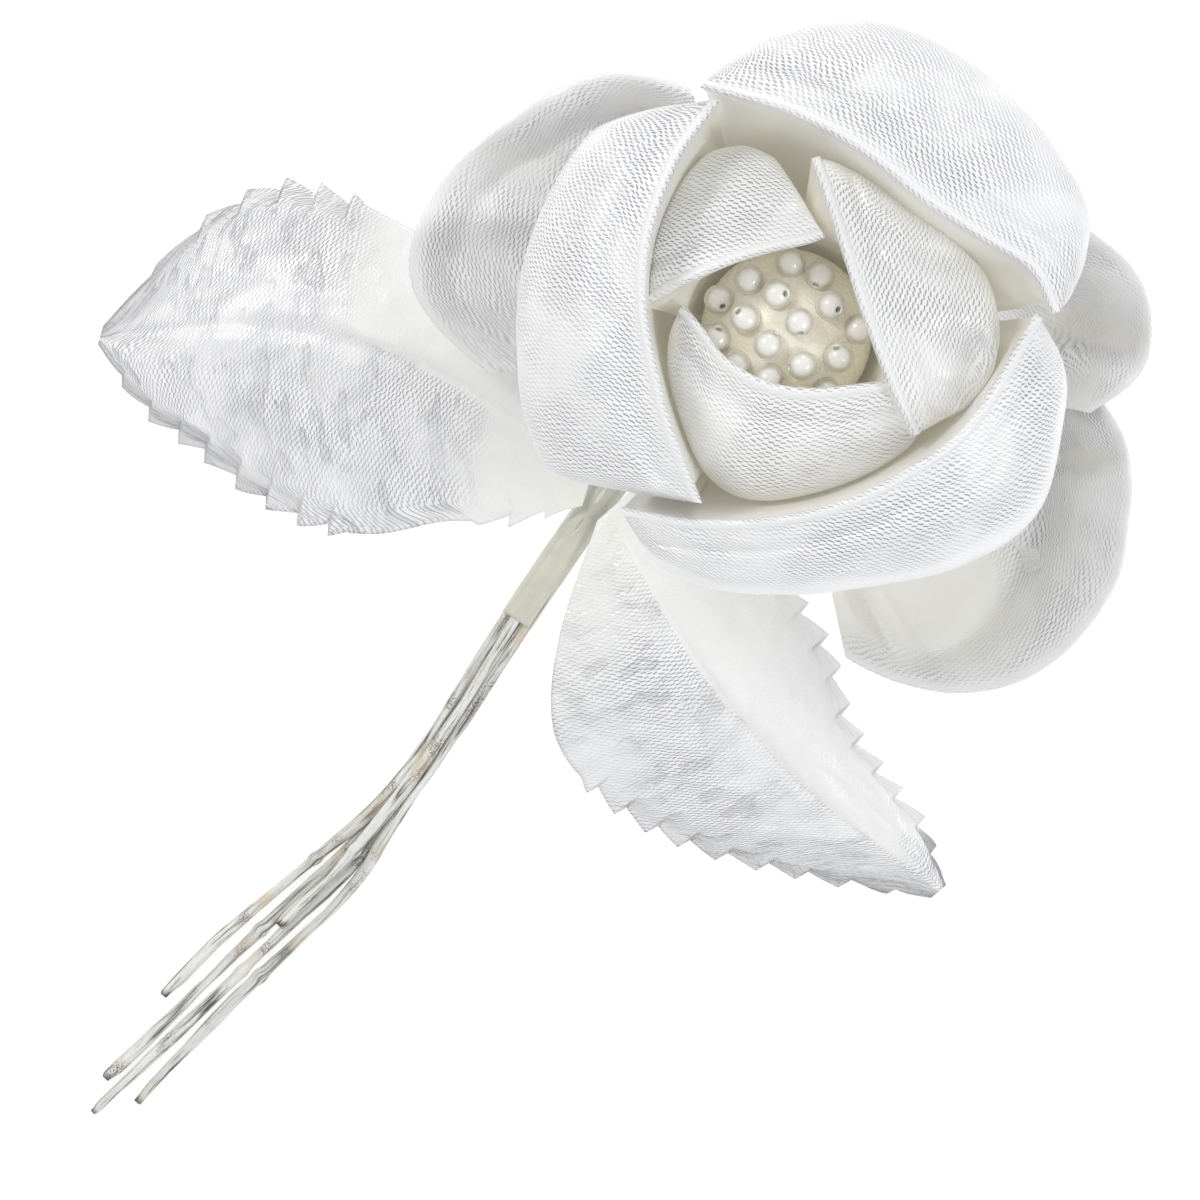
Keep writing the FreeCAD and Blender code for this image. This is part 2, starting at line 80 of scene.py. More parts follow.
# stem
WIRE_RADIUS = 0.5
RING_RADIUS = 0.9187  # the five wires' centres, round the middle of the bundle
ROW_PITCH = 1.45
SLEEVE_RADIUS = 1.58
BUNDLE_Z = 1.75
WIRE_STEP = 0.28
SLEEVE_STEP = 0.3
RAISED_WIRE_Z = 1.4  # the short wire lies on the others
BUNDLE_TOP_Z = 4.7
TABLE_CLEARANCE = 0.02
ROLL_STEP = 93.0  # from where one wire's wrap was cut from the roll to the next

# satin weave
RIB_PITCH = 0.40
FLOAT_LENGTH = 0.60
FLOAT_STAGGER = 0.37
GAP_SLANT = 0.66


# ---- curves and numbers -----------------------------------------------------------------------
def ease(value):
    value = min(max(value, 0.0), 1.0)
    return value * value * (3.0 - 2.0 * value)


def mix(a, b, share):
    return a + (b - a) * share


def along(points, share):
    """Smooth point at a share of the way along a short list of points or numbers."""
    place = min(max(share, 0.0), 1.0) * (len(points) - 1)
    index = min(int(place), len(points) - 2)
    t = place - index
    low, high = points[index], points[index + 1]
    before = points[index - 1] if index > 0 else low * 2.0 - high
    after = points[index + 2] if index + 2 < len(points) else high * 2.0 - low
    return ((low * 2.0) + (high - before) * t + (before * 2.0 - low * 5.0 + high * 4.0 - after) * t ** 2
            + (low * 3.0 - before - high * 3.0 + after) * t ** 3) * 0.5


def plan(*pairs):
    return [Vector((x, y, 0.0)) for x, y in pairs]


def ripple(x, y, z, size):
    """Soft noise from -1 to 1 at a point, in lumps of the given size."""
    return noise.noise(Vector((x, y, z)) / size)


def bump_at(value, middle, width):
    return math.exp(-((value - middle) / width) ** 2)


# ---- meshes -----------------------------------------------------------------------------------
def lay_flat(points, columns, rows, seam, grain):
    """Place of each grid point on the cloth in mm, turned by the grain in degrees.

    A place is the length along the row from its middle and the length down the column from the seam."""
    turn = math.radians(grain)
    middle = columns // 2
    first = round(seam * rows)
    places = {}
    for row in range(rows + 1):
        run = 0.0
        runs = {0: 0.0}
        for column in range(columns):
            run += (points[column + 1, row] - points[column, row]).length
            runs[column + 1] = run
        for column, length in runs.items():
            places[column, row] = [length - runs[middle], 0.0]
    for column in range(columns + 1):
        for step, rest in ((1, range(first + 1, rows + 1)), (-1, range(first - 1, -1, -1))):
            fall = 0.0
            for row in rest:
                fall += (points[column, row] - points[column, row - step]).length
                places[column, row][1] = fall * step
    return {key: (x * math.cos(turn) - y * math.sin(turn), x * math.sin(turn) + y * math.cos(turn))
            for key, (x, y) in places.items()}


def cloth_object(name, columns, rows, place, tone, calm=None, seam=0.0, grain=0.0, smooth=1):
    """Sheet from a flat grid.

    place(u, v) is its point, tone(u, v) how deep in the flower it lies, which the satin finishes turn into
    painted cream shade and painted glow, and calm(u, v) how far its weave is smoothed out; the weave is laid
    out from the seam, a share of the way down, and turned by the grain."""
    bm = bmesh.new()
    bmesh.ops.create_grid(bm, x_segments=columns, y_segments=rows, size=0.5)
    cloth = bm.loops.layers.uv.new("cloth")
    deep = bm.verts.layers.float.new("tone")
    smoothed = bm.verts.layers.float.new("calm")
    keys = {}
    points = {}
    for vertex in bm.verts:
        u, v = vertex.co.x + 0.5, vertex.co.y + 0.5
        keys[vertex] = (round(u * columns), round(v * rows))
        points[keys[vertex]] = place(u, v)
        vertex[deep] = tone(u, v)
        vertex[smoothed] = calm(u, v) if calm else 0.0
        vertex.co = points[keys[vertex]] * MM
    places = lay_flat(points, columns, rows, seam, grain)
    for face in bm.faces:
        face.smooth = True
        for loop in face.loops:
            loop[cloth].uv = places[keys[loop.vert]]
    mesh = bpy.data.meshes.new(name)
    bm.to_mesh(mesh)
    bm.free()
    piece = bpy.data.objects.new(name, mesh)
    bpy.context.collection.objects.link(piece)
    if smooth:
        rounding = piece.modifiers.new("smooth cloth", "SUBSURF")
        rounding.levels = smooth
        rounding.render_levels = smooth
    return piece


# ---- node groups ------------------------------------------------------------------------------
class Sheet:
    """Node tree being laid out."""

    def __init__(self, tree):
        self.tree = tree

    def node(self, kind, **settings):
        node = self.tree.nodes.new(kind)
        for key, value in settings.items():
            if key in node.bl_rna.properties:
                setattr(node, key, value)
            else:
                node.inputs[key.replace("_", " ")].default_value = value
        return node

    def link(self, source, target):
        self.tree.links.new(source, target)
        return target

    def math(self, operation, a, b=0.5, clamp=False):
        node = self.node("ShaderNodeMath", operation=operation, use_clamp=clamp)
        for socket, value in zip(node.inputs, (a, b)):
            if isinstance(value, (int, float)):
                socket.default_value = value
            else:
                self.link(value, socket)
        return node.outputs[0]

    def spread(self, value, low, high, out_low=0.0, out_high=1.0):
        node = self.node("ShaderNodeMapRange", interpolation_type="SMOOTHSTEP")
        self.link(value, node.inputs[0])
        for index, number in enumerate((low, high, out_low, out_high), 1):
            node.inputs[index].default_value = number
        return node.outputs[0]

    def blend(self, factor, a, b):
        node = self.node("ShaderNodeMix", data_type="RGBA")
        for socket, value in ((node.inputs[0], factor), (node.inputs[6], a), (node.inputs[7], b)):
            if isinstance(value, (int, float)):
                socket.default_value = value
            elif isinstance(value, tuple):
                socket.default_value = (*value, 1.0)
            else:
                self.link(value, socket)
        return node.outputs[2]

    def noise(self, vector, scale, detail=2.0, roughness=0.5):
        node = self.node("ShaderNodeTexNoise", Scale=scale, Detail=detail, Roughness=roughness)
        self.link(vector, node.inputs["Vector"])
        return node.outputs["Fac"]


def new_group(name, inputs, outputs):
    tree = bpy.data.node_groups.new(name, "ShaderNodeTree")
    for side, sockets in (("INPUT", inputs), ("OUTPUT", outputs)):
        for label, kind in sockets:
            tree.interface.new_socket(label, in_out=side, socket_type="NodeSocket" + kind)
    sheet = Sheet(tree)
    return sheet, sheet.node("NodeGroupInput"), sheet.node("NodeGroupOutput")


def weave_group():
    """Satin weave, on a place on the cloth in mm.

    Rows of long floats with a short slanting gap between two of them, staggered from row to row."""
    sheet, given, result = new_group(
        "satin_weave", [("Cloth", "Vector"), ("Size", "Float")],
        [("Height", "Float"), ("Float", "Float"), ("Fade", "Float")])
    sized = sheet.node("ShaderNodeVectorMath", operation="SCALE")
    sheet.link(given.outputs["Cloth"], sized.inputs[0])
    sheet.link(given.outputs["Size"], sized.inputs["Scale"])
    split = sheet.node("ShaderNodeSeparateXYZ")
    sheet.link(sized.outputs[0], split.inputs[0])
    drift = sheet.noise(sized.outputs[0], 0.3, 3.0, 0.6)
    rows = sheet.math("ADD", sheet.math("MULTIPLY", split.outputs[1], 1.0 / RIB_PITCH),
                      sheet.math("MULTIPLY", drift, 4.0))
    row = sheet.math("FLOOR", rows)
    over = sheet.math("SUBTRACT", sheet.math("SUBTRACT", rows, row), 0.5)
    floats = sheet.math("ADD", sheet.math("MULTIPLY", split.outputs[0], 1.0 / FLOAT_LENGTH),
                        sheet.math("MULTIPLY", row, FLOAT_STAGGER))
    ahead = sheet.math("SUBTRACT", sheet.math("FRACT", floats), 0.5)
    slant = sheet.math("MULTIPLY", ahead, GAP_SLANT)
    from_gap = sheet.math("ABSOLUTE", sheet.math("SUBTRACT", over, slant))
    across_gap = sheet.spread(from_gap, 0.0, 0.25, 1.0, 0.0)
    along_gap = sheet.spread(sheet.math("ABSOLUTE", ahead), 0.3, 0.5, 1.0, 0.0)
    thread = sheet.math("SUBTRACT", 1.0, sheet.math("MULTIPLY", across_gap, along_gap))
    sheet.link(thread, result.inputs["Height"])
    sheet.link(sheet.spread(thread, 0.1, 0.8), result.inputs["Float"])
    patches = sheet.noise(given.outputs["Cloth"], 0.11, 3.0, 0.55)
    sheet.link(sheet.spread(patches, 0.38, 0.66), result.inputs["Fade"])
    return sheet.tree


def stain_group():
    """Uneven, slightly dirty tone on an object's own coordinates."""
    sheet, given, result = new_group(
        "soft_stain", [("Place", "Vector"), ("Scale", "Float")], [("Broad", "Float"), ("Fine", "Float")])
    for label, factor, detail in (("Broad", 1.0, 3.0), ("Fine", 6.0, 4.0)):
        node = sheet.node("ShaderNodeTexNoise", Detail=detail, Roughness=0.6)
        sheet.link(given.outputs["Place"], node.inputs["Vector"])
        sheet.link(sheet.math("MULTIPLY", given.outputs["Scale"], factor), node.inputs["Scale"])
        sheet.link(sheet.spread(node.outputs["Fac"], 0.3, 0.7), result.inputs[label])
    return sheet.tree


WEAVE = weave_group()
STAIN = stain_group()


def new_material(name, **settings):
    material = bpy.data.materials.new(name)
    material.use_nodes = True
    sheet = Sheet(material.node_tree)
    shader = material.node_tree.nodes["Principled BSDF"]
    for key, value in settings.items():
        shader.inputs[key.replace("_", " ")].default_value = value
    return material, sheet, shader


def add_bump(sheet, shader, height, strength, distance):
    node = sheet.node("ShaderNodeBump", Strength=strength, Distance=distance * MM)
    sheet.link(height, node.inputs["Height"])
    sheet.link(node.outputs[0], shader.inputs["Normal"])


def add_stain(sheet, scale):
    stain = sheet.node("ShaderNodeGroup", node_tree=STAIN, Scale=scale)
    place = sheet.node("ShaderNodeTexCoord")
    sheet.link(place.outputs["Object"], stain.inputs["Place"])
    return stain


def satin(name, top, gap_shade, deep, glow, size=1.0, roughness=0.34, pressed=0.0):
    """White satin: bright floats with painted shade in the gaps between them, and deep inside a painted cream
    shade and a painted glow standing in for light through it.

    size is how fine the weave is and pressed the depth of a stamped grain, whose grooves also get painted
    shade."""
    material, sheet, shader = new_material(name, Sheen_Weight=0.3, Sheen_Roughness=0.35, IOR=1.5,
                                           Anisotropic=0.5, Specular_IOR_Level=0.8)
    uv = sheet.node("ShaderNodeUVMap", uv_map="cloth")
    weave = sheet.node("ShaderNodeGroup", node_tree=WEAVE)
    sheet.link(uv.outputs[0], weave.inputs["Cloth"])
    weave.inputs["Size"].default_value = size
    stain = add_stain(sheet, 90.0)
    tone = sheet.node("ShaderNodeAttribute", attribute_name="tone")
    flat = sheet.node("ShaderNodeAttribute", attribute_name="calm")
    # Painted shade: the gaps between the floats take the greyer second colour.
    threads = sheet.blend(weave.outputs["Float"], gap_shade, top)
    patchy = sheet.math("MULTIPLY", weave.outputs["Fade"], 0.7)
    calm = sheet.math("MAXIMUM", sheet.math("MAXIMUM", patchy, flat.outputs["Fac"]),
                      sheet.math("MULTIPLY", tone.outputs["Fac"], 0.8))
    faded = sheet.blend(calm, threads, top)
    # Painted shade: where the tone mask is high, deep in the flower, under the petals and in fold valleys, the
    # colour turns to the cream shade colour.
    recess_shaded = sheet.blend(tone.outputs["Fac"], faded, deep)
    # The broad stain is the cloth's own uneven tone, laid over the painted shade.
    stain_and_shade = sheet.blend(sheet.math("MULTIPLY", stain.outputs["Broad"], 0.12), recess_shaded, (0.76, 0.77, 0.81))
    plain = sheet.math("SUBTRACT", 1.0, calm)
    height = sheet.math("MULTIPLY", weave.outputs["Height"], plain)
    if pressed:
        slanted = sheet.node("ShaderNodeMapping")
        slanted.inputs["Rotation"].default_value = (0.0, 0.0, math.radians(62.0))
        slanted.inputs["Scale"].default_value = (0.19, 0.62, 1.0)
        sheet.link(uv.outputs[0], slanted.inputs["Vector"])
        veins = sheet.spread(sheet.noise(slanted.outputs[0], 1.0, 2.0, 0.55), 0.53, 0.63)
        stamp = sheet.math("MULTIPLY", veins, plain)
        # Painted shade: broad grey patches over the woven part of the leaf.
        shade_patches = sheet.spread(sheet.noise(uv.outputs[0], 0.12, 3.0, 0.6), 0.44, 0.6, 0.0, 0.5)
        stain_and_shade = sheet.blend(sheet.math("MULTIPLY", shade_patches, plain), stain_and_shade, (0.70, 0.705, 0.73))
        # Painted shade in the grooves of the pressed veins, besides their bump.
        stain_and_shade = sheet.blend(sheet.math("MULTIPLY", stamp, 0.4), stain_and_shade, (0.56, 0.565, 0.59))
        height = sheet.math("SUBTRACT", height, sheet.math("MULTIPLY", stamp, pressed))
    sheet.link(stain_and_shade, shader.inputs["Base Color"])
    rough = sheet.math("SUBTRACT", roughness + 0.16, sheet.math("MULTIPLY", weave.outputs["Float"], 0.16))
    sheet.link(rough, shader.inputs["Roughness"])
    # Painted glow: emission by the tone mask stands in for light through the satin deep in the flower.
    sheet.link(sheet.blend(tone.outputs["Fac"], (0.0, 0.0, 0.0), glow), shader.inputs["Emission Color"])
    shader.inputs["Emission Strength"].default_value = 1.0
    add_bump(sheet, shader, height, 0.9, 0.1)
    return material


def paper(name, light, middle, crease_shade, tan, brown):
    """Glued paper wrap: fine streaks along the wire with painted shade in their crinkle valleys, tan patches,
    brown specks here and there.

    Towards the cut end it turns brown, by the cloth's tone."""
    material, sheet, shader = new_material(name, Specular_IOR_Level=0.45)
    uv = sheet.node("ShaderNodeUVMap", uv_map="cloth")
    stretch = sheet.node("ShaderNodeMapping")
    stretch.inputs["Scale"].default_value = (1.0, 0.055, 1.0)
    sheet.link(uv.outputs[0], stretch.inputs["Vector"])
    streak = sheet.noise(stretch.outputs[0], 2.6, 5.0, 0.62)
    broad = sheet.noise(stretch.outputs[0], 0.9, 2.0, 0.5)
    # Painted shade: the streaks share their noise with the bump, so the darkest colour sits in its crinkle
    # valleys.
    colour = sheet.blend(sheet.spread(streak, 0.36, 0.45), crease_shade, middle)
    colour = sheet.blend(sheet.spread(streak, 0.42, 0.51), colour, light)
    colour = sheet.blend(sheet.spread(broad, 0.38, 0.6, 0.35, 0.0), colour, middle)
    patch = sheet.noise(uv.outputs[0], 0.11, 2.0, 0.5)
    colour = sheet.blend(sheet.spread(patch, 0.56, 0.66, 0.0, 0.75), colour, tan)
    speckle = sheet.noise(uv.outputs[0], 5.0, 3.0, 0.65)
    dirt = sheet.noise(uv.outputs[0], 0.17, 2.0, 0.6)
    soiled = sheet.math("MULTIPLY", sheet.spread(dirt, 0.53, 0.65, 0.0, 0.9),
                        sheet.spread(speckle, 0.42, 0.6))
    tone = sheet.node("ShaderNodeAttribute", attribute_name="tone")
    # Browner towards the cut end, as the tube's tip tone rises.
    browner_tip = sheet.math("MULTIPLY", tone.outputs["Fac"], sheet.spread(speckle, 0.3, 0.5, 0.6, 1.0))
    colour = sheet.blend(sheet.math("MAXIMUM", soiled, browner_tip), colour, brown)
    sheet.link(colour, shader.inputs["Base Color"])
    sheet.link(sheet.spread(streak, 0.3, 0.7, 0.65, 0.4), shader.inputs["Roughness"])
    add_bump(sheet, shader, sheet.math("ADD", streak, sheet.math("MULTIPLY", speckle, 0.2)), 0.9, 0.3)
    return material


def solid_finish(name, colour, second, scale, roughness, bump=0.0, **settings):
    """Cast, drawn or pressed stock with a mottled tone."""
    material, sheet, shader = new_material(name, **settings)
    stain = add_stain(sheet, scale)
    sheet.link(sheet.blend(stain.outputs["Broad"], colour, second), shader.inputs["Base Color"])
    sheet.link(sheet.spread(stain.outputs["Fine"], 0.0, 1.0, roughness - 0.08, roughness + 0.1),
               shader.inputs["Roughness"])
    if bump:
        add_bump(sheet, shader, stain.outputs["Fine"], 0.6, bump)
    return material


def nacre(name, face, rim, edge_highlight):
    """Pearl coat over a plastic bead with painted reflections: bright facing the eye, then a darker warm ring
    and a pale painted highlight towards the edge.
    """
    material, sheet, shader = new_material(name, Coat_Weight=1.0, Coat_Roughness=0.04, Coat_IOR=1.65,
                                           Specular_IOR_Level=0.7)
    stain = add_stain(sheet, 420.0)
    turned = sheet.node("ShaderNodeLayerWeight", Blend=0.5).outputs["Facing"]
    # Painted reflection: the colour follows the angle to the eye, as a bright face, a darker warm ring and a
    # pale edge.
    colour = sheet.blend(sheet.spread(turned, 0.12, 0.42), face, rim)
    colour = sheet.blend(sheet.spread(turned, 0.5, 0.8), colour, edge_highlight)
    colour = sheet.blend(sheet.math("MULTIPLY", stain.outputs["Broad"], 0.18), colour, (0.80, 0.78, 0.78))
    sheet.link(colour, shader.inputs["Base Color"])
    sheet.link(sheet.spread(stain.outputs["Fine"], 0.0, 1.0, 0.16, 0.30), shader.inputs["Roughness"])
    return material


# Satin colours: floats, painted shade in the gaps between them, painted cream shade deep inside, painted glow.
PETAL_SATIN = satin("petal_satin", (0.95, 0.95, 0.955), (0.35, 0.355, 0.41), (0.91, 0.90, 0.85),
                    (0.05, 0.048, 0.040))
INNER_SATIN = satin("inner_satin", (0.95, 0.95, 0.95), (0.38, 0.38, 0.41), (0.91, 0.89, 0.81),
                    (0.07, 0.067, 0.054), roughness=0.28)
LEAF_SATIN = satin("leaf_satin", (0.965, 0.965, 0.975), (0.52, 0.525, 0.575), (0.86, 0.86, 0.82),
                   (0.05, 0.05, 0.045), size=1.12, roughness=0.3, pressed=2.2)
# Paper colours: lightest, middle, darkest (painted shade in the crinkle valleys), tan patches, brown specks.
WIRE_PAPER = paper("wire_paper", (0.90, 0.90, 0.865), (0.52, 0.515, 0.48), (0.10, 0.098, 0.09),
                   (0.70, 0.57, 0.38), (0.16, 0.115, 0.095))
SLEEVE_FILM = solid_finish("sleeve_film", (0.64, 0.63, 0.54), (0.50, 0.50, 0.43), 150.0, 0.5, 0.05,
                           Coat_Weight=0.15, Coat_Roughness=0.35)
# Painted reflection colours: facing the eye, the ring, the edge.
PEARL = nacre("pearl", (0.98, 0.97, 0.94), (0.70, 0.66, 0.57), (0.95, 0.93, 0.86))
# The bed's emission is a painted glow, standing in for light through the glue.
BED_GLUE = solid_finish("bed_glue", (0.93, 0.90, 0.79), (0.86, 0.81, 0.66), 420.0, 0.3, 0.12,
                        Coat_Weight=0.4, Coat_Roughness=0.2, Emission_Strength=0.1,
                        Emission_Color=(0.95, 0.88, 0.70, 1.0))
STEEL = solid_finish("wire_steel", (0.12, 0.10, 0.09), (0.05, 0.04, 0.035), 900.0, 0.45, 0.02, Metallic=0.6)
FELT = solid_finish("cup_felt", (0.72, 0.71, 0.64), (0.62, 0.61, 0.55), 700.0, 0.85, 0.15)
FOAM = solid_finish("core_foam", (0.66, 0.62, 0.50), (0.58, 0.53, 0.40), 900.0, 0.8, 0.2)
THREAD = solid_finish("thread", (0.80, 0.79, 0.74), (0.66, 0.65, 0.60), 2500.0, 0.6, 0.05)
TAPE = solid_finish("neck_tape", (0.62, 0.61, 0.52), (0.48, 0.47, 0.40), 500.0, 0.5, 0.08)


def dress(piece, material, slot, body, *nodes):
    """Finish and body of a piece, and the solids it stands for; slot is not used."""
    piece.data.materials.append(material)
    if body:
        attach(piece, body)
    if nodes:
        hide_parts(*nodes)


# ---- petals -----------------------------------------------------------------------------------
def ring_place(angle, radius, height):
    turn = math.radians(angle)
    return FLOWER + Vector((radius * math.cos(turn), radius * math.sin(turn), height))


def foot_under(point, radius):
    """Plan place on a ring round the flower's axis, on the side of a point given from that axis."""
    turn = math.atan2(point.y, point.x)
    return Vector((radius * math.cos(turn), radius * math.sin(turn), 0.0))


def folded_petal(name, rim, edge, rim_z, edge_z, foot_radius, hollow, finish, slot, width, depth, grain,
                 plain_from, seed, rounding=(0.1, 0.1), lap=(0.0, 0.0), creases=(), dimples=()):
    """Square of satin folded in half along the rim: up the inside, over the fold, out and down to the foot.

    rim and edge are plan curves from the flower's axis, rim_z and edge_z their heights, foot_radius the ring
    that it is gathered on and hollow the radius kept free inside, if any. rounding is the share of the petal
    over which its first and last ends close, and lap how many degrees they lean sideways. At a closed end the
    two sides lie together. creases are (place along the rim, size, slant) and dimples (place along the rim,
    place down the cloth, size, width). The weave shows from the rim to plain_from."""
    foot_z = FOLDED_FOOT_Z

    def place(u, v):
        closing = min(1.0, u / rounding[0], (1.0 - u) / rounding[1])
        fullness = math.sqrt(max(0.0, 1.0 - (1.0 - closing) ** 2))
        shut = 0.48 * (1.0 - fullness)
        top = along(rim, u)
        side = along(edge, u)
        out = side - top
        span = out.length
        out.normalize()
        side = top + out * span * (0.12 + 0.88 * fullness)
        high = along(rim_z, u)
        low = mix(high - 1.2, along(edge_z, u), fullness)
        outer_foot = foot_under(mix(top, side, 0.5), foot_radius)
        inner_foot = foot_under(top, foot_radius)

        def inner_wall(rise):
            if hollow:
                opening = math.sin(math.pi / 2.0 * min(rise / INNER_LEAN_START, 1.0))
                lean = ease((rise - INNER_LEAN_START) / (1.0 - INNER_LEAN_START))
                return inner_foot.lerp(foot_under(top, hollow), opening).lerp(top, lean)
            return inner_foot.lerp(top, 1.0 - (1.0 - rise) ** 2.1)

        def outer_wall(height):
            drop = min(max((low - height) / (low - foot_z), 0.0), 1.0)
            wall = side.lerp(outer_foot, 1.0 - math.sqrt(1.0 - drop * drop))
            return wall.lerp(top, ease((height - low) / (high - low)))

        if v < FOLD_START:
            rise = v / FOLD_START
            height = mix(foot_z, high, rise)
            flat = inner_wall(rise).lerp(outer_wall(height), shut)
            point = Vector((flat.x, flat.y, height))
        elif v < FOLD_END:
            sweep = math.pi * (v - FOLD_START) / (FOLD_END - FOLD_START)
            point = top + out * FOLD_RADIUS * (1.0 - math.cos(sweep))
            point.z = high + FOLD_RADIUS * math.sin(sweep)
        else:
            sweep = math.pi * (0.5 - (v - FOLD_END) / (1.0 - FOLD_END))
            start = top + out * FOLD_RADIUS * 2.0
            if sweep > 0.0:
                flat = start.lerp(side, math.cos(sweep) ** 0.92)
                reach = (flat - start).length
                groove = bump_at(reach, 2.1, 0.42) * 0.55 * fullness - bump_at(reach, 4.2, 1.5) * 0.25
                height = mix(low, high, math.sin(sweep) ** 0.95) - groove
            else:
                height = mix(low, foot_z, -math.sin(sweep))
                inside = inner_wall(max(height - foot_z, 0.0) / (high - foot_z))
                flat = side.lerp(outer_foot, 1.0 - math.cos(sweep))
                flat = flat.lerp(inside, shut * ease(-3.0 * math.sin(sweep)))
            point = Vector((flat.x, flat.y, height))
            swell = math.sin(math.pi * min((v - FOLD_END) / 0.5, 1.0))
            wave = 0.22 * ripple(u * 9.0, v * 3.0, seed, 1.0)
            for middle, size, slant in creases:
                wave += size * bump_at(u + slant * (v - FOLD_END), middle, 0.045)
            for middle, down, size, wide in dimples:
                wave += size * bump_at(u, middle, wide) * bump_at(v, down, 0.05)
            point += Vector((out.x * 0.35, out.y * 0.35, -1.0)) * wave * swell
        lean = lap[0] * ease((0.16 - u) / 0.16) + lap[1] * ease((u - 0.84) / 0.16)
        turn = math.radians(lean * ease((point.z - LAP_START_Z) / 6.0))
        return FLOWER + Matrix.Rotation(turn, 3, "Z") @ point

    # Mask of painted cream shade and glow: the inside wall below the rim, the outer side running down under the
    # petal and, on inner petals, the closed ends.
    def tone(u, v):
        inside = ease((0.29 - v) / 0.05)
        sunk = ease((v - (0.52 if hollow else 0.74)) / 0.2)
        end = ease((0.16 - min(u, 1.0 - u)) / 0.16) * 0.8 if hollow else 0.0
        return max(inside, sunk, end * ease((v - 0.36) / 0.1))

    def calm(u, v):
        worn = 0.05 * ripple(u * 7.0, v * 8.0, seed + 2.0, 1.0)
        return max(bump_at(v, 0.325, 0.022), ease((v + worn - plain_from) / 0.09) * 0.85)

    piece = cloth_object("satin_" + name, 72, 76, place, tone, calm, seam=FOLD_MIDDLE, grain=grain)
    dress(piece, finish, slot, "flower_head", "petal_" + name)


def spread_petal(name, angles, radii, rim_z, foot_z, sag, width, depth, folds, roll_height, roll_share, cream,
                 grain, seed):
    """Low outer petal, folded at its outer rim: out along the top, round the rim and back underneath.

    Lists run from the petal's start to its end. folds are (place along the rim, size, slant, width, place
    along the reach, spread along the reach). roll_height is the height of the rolled rim and roll_share its
    share of the reach, sag how far the run hangs and cream the share of it that stays smooth and takes painted
    cream shade."""
    def folding(u, share):
        wave = 0.0
        for middle, size, slant, slim, out, spread in folds:
            wave += size * bump_at(u + slant * (share - out), middle, slim) * bump_at(share, out, spread)
        return wave

    def place(u, v):
        closing = min(1.0, min(u, 1.0 - u) / 0.12)
        fullness = math.sqrt(max(0.0, 1.0 - (1.0 - closing) ** 2))
        past_rim = 0.0
        if v < RIM_START:
            share = v / RIM_START
            under = 0.0
        elif v < RIM_END:
            share = 1.0
            sweep = math.pi * (v - RIM_START) / (RIM_END - RIM_START)
            under = 0.5 - 0.5 * math.cos(sweep)
            past_rim = 0.35 * math.sin(sweep)
        else:
            share = 1.0 - (v - RIM_END) / (1.0 - RIM_END)
            under = 1.0
        thickness = mix(0.7, 2.0, math.sin(math.pi * share)) * mix(0.06, 1.0, fullness)
        radius = mix(OUTER_FOOT_RADIUS, along(radii, u), share) + past_rim
        hang = along(sag, u) * math.sin(math.pi * share)
        height = foot_z + (along(rim_z, u) - foot_z) * share ** 1.6 - hang
        loose = min(1.0, min(u, 1.0 - u) / 0.15) * share ** 0.8
        wave = folding(u, share) + 0.35 * ripple(u * 7.0, share * 2.5, seed, 1.0) * loose
        band = along(roll_share, u)
        rolled = math.sin(math.pi * min(max((share - 1.0 + band) / (1.35 * band), 0.0), 1.0)) ** 0.8
        rolled -= 0.7 * bump_at(share, 1.0 - band * 1.05, 0.25 * band)
        height += wave * (1.0 - 0.6 * under) + along(roll_height, u) * rolled * (1.0 - under)
        return ring_place(mix(angles[0], angles[1], u), radius, max(height - thickness * under, OUTER_LOWEST_Z))

    # Mask of painted cream shade and glow: underneath, in the valleys of the folds and from the foot out to the
    # cream share.
    def tone(u, v):
        if v >= RIM_END:
            return 0.6
        share = min(v / RIM_START, 1.0)
        edge = along(cream, u)
        valley_shade = 0.8 * ease(-folding(u, share) / 2.4)
        return max(valley_shade, mix(0.85, 0.06, ease((share - edge + 0.16) / mix(0.8, 0.24, min(edge, 1.0)))))

    def calm(u, v):
        share = min(v / RIM_START, 1.0)
        smooth_part = 1.0 - ease((share - along(cream, u) + 0.1) / 0.14)
        ridge = ease(folding(u, share) * 1.2)
        hidden = ease((v - 0.6) / 0.1) * 0.6
        return max(bump_at(v, RIM_START, 0.02), smooth_part * 0.92 * (1.0 - ridge), hidden)

    piece = cloth_object("satin_" + name, 88, 96, place, tone, calm, seam=0.5, grain=grain)
    dress(piece, PETAL_SATIN, "petal_satin", "flower_head", "petal_" + name)


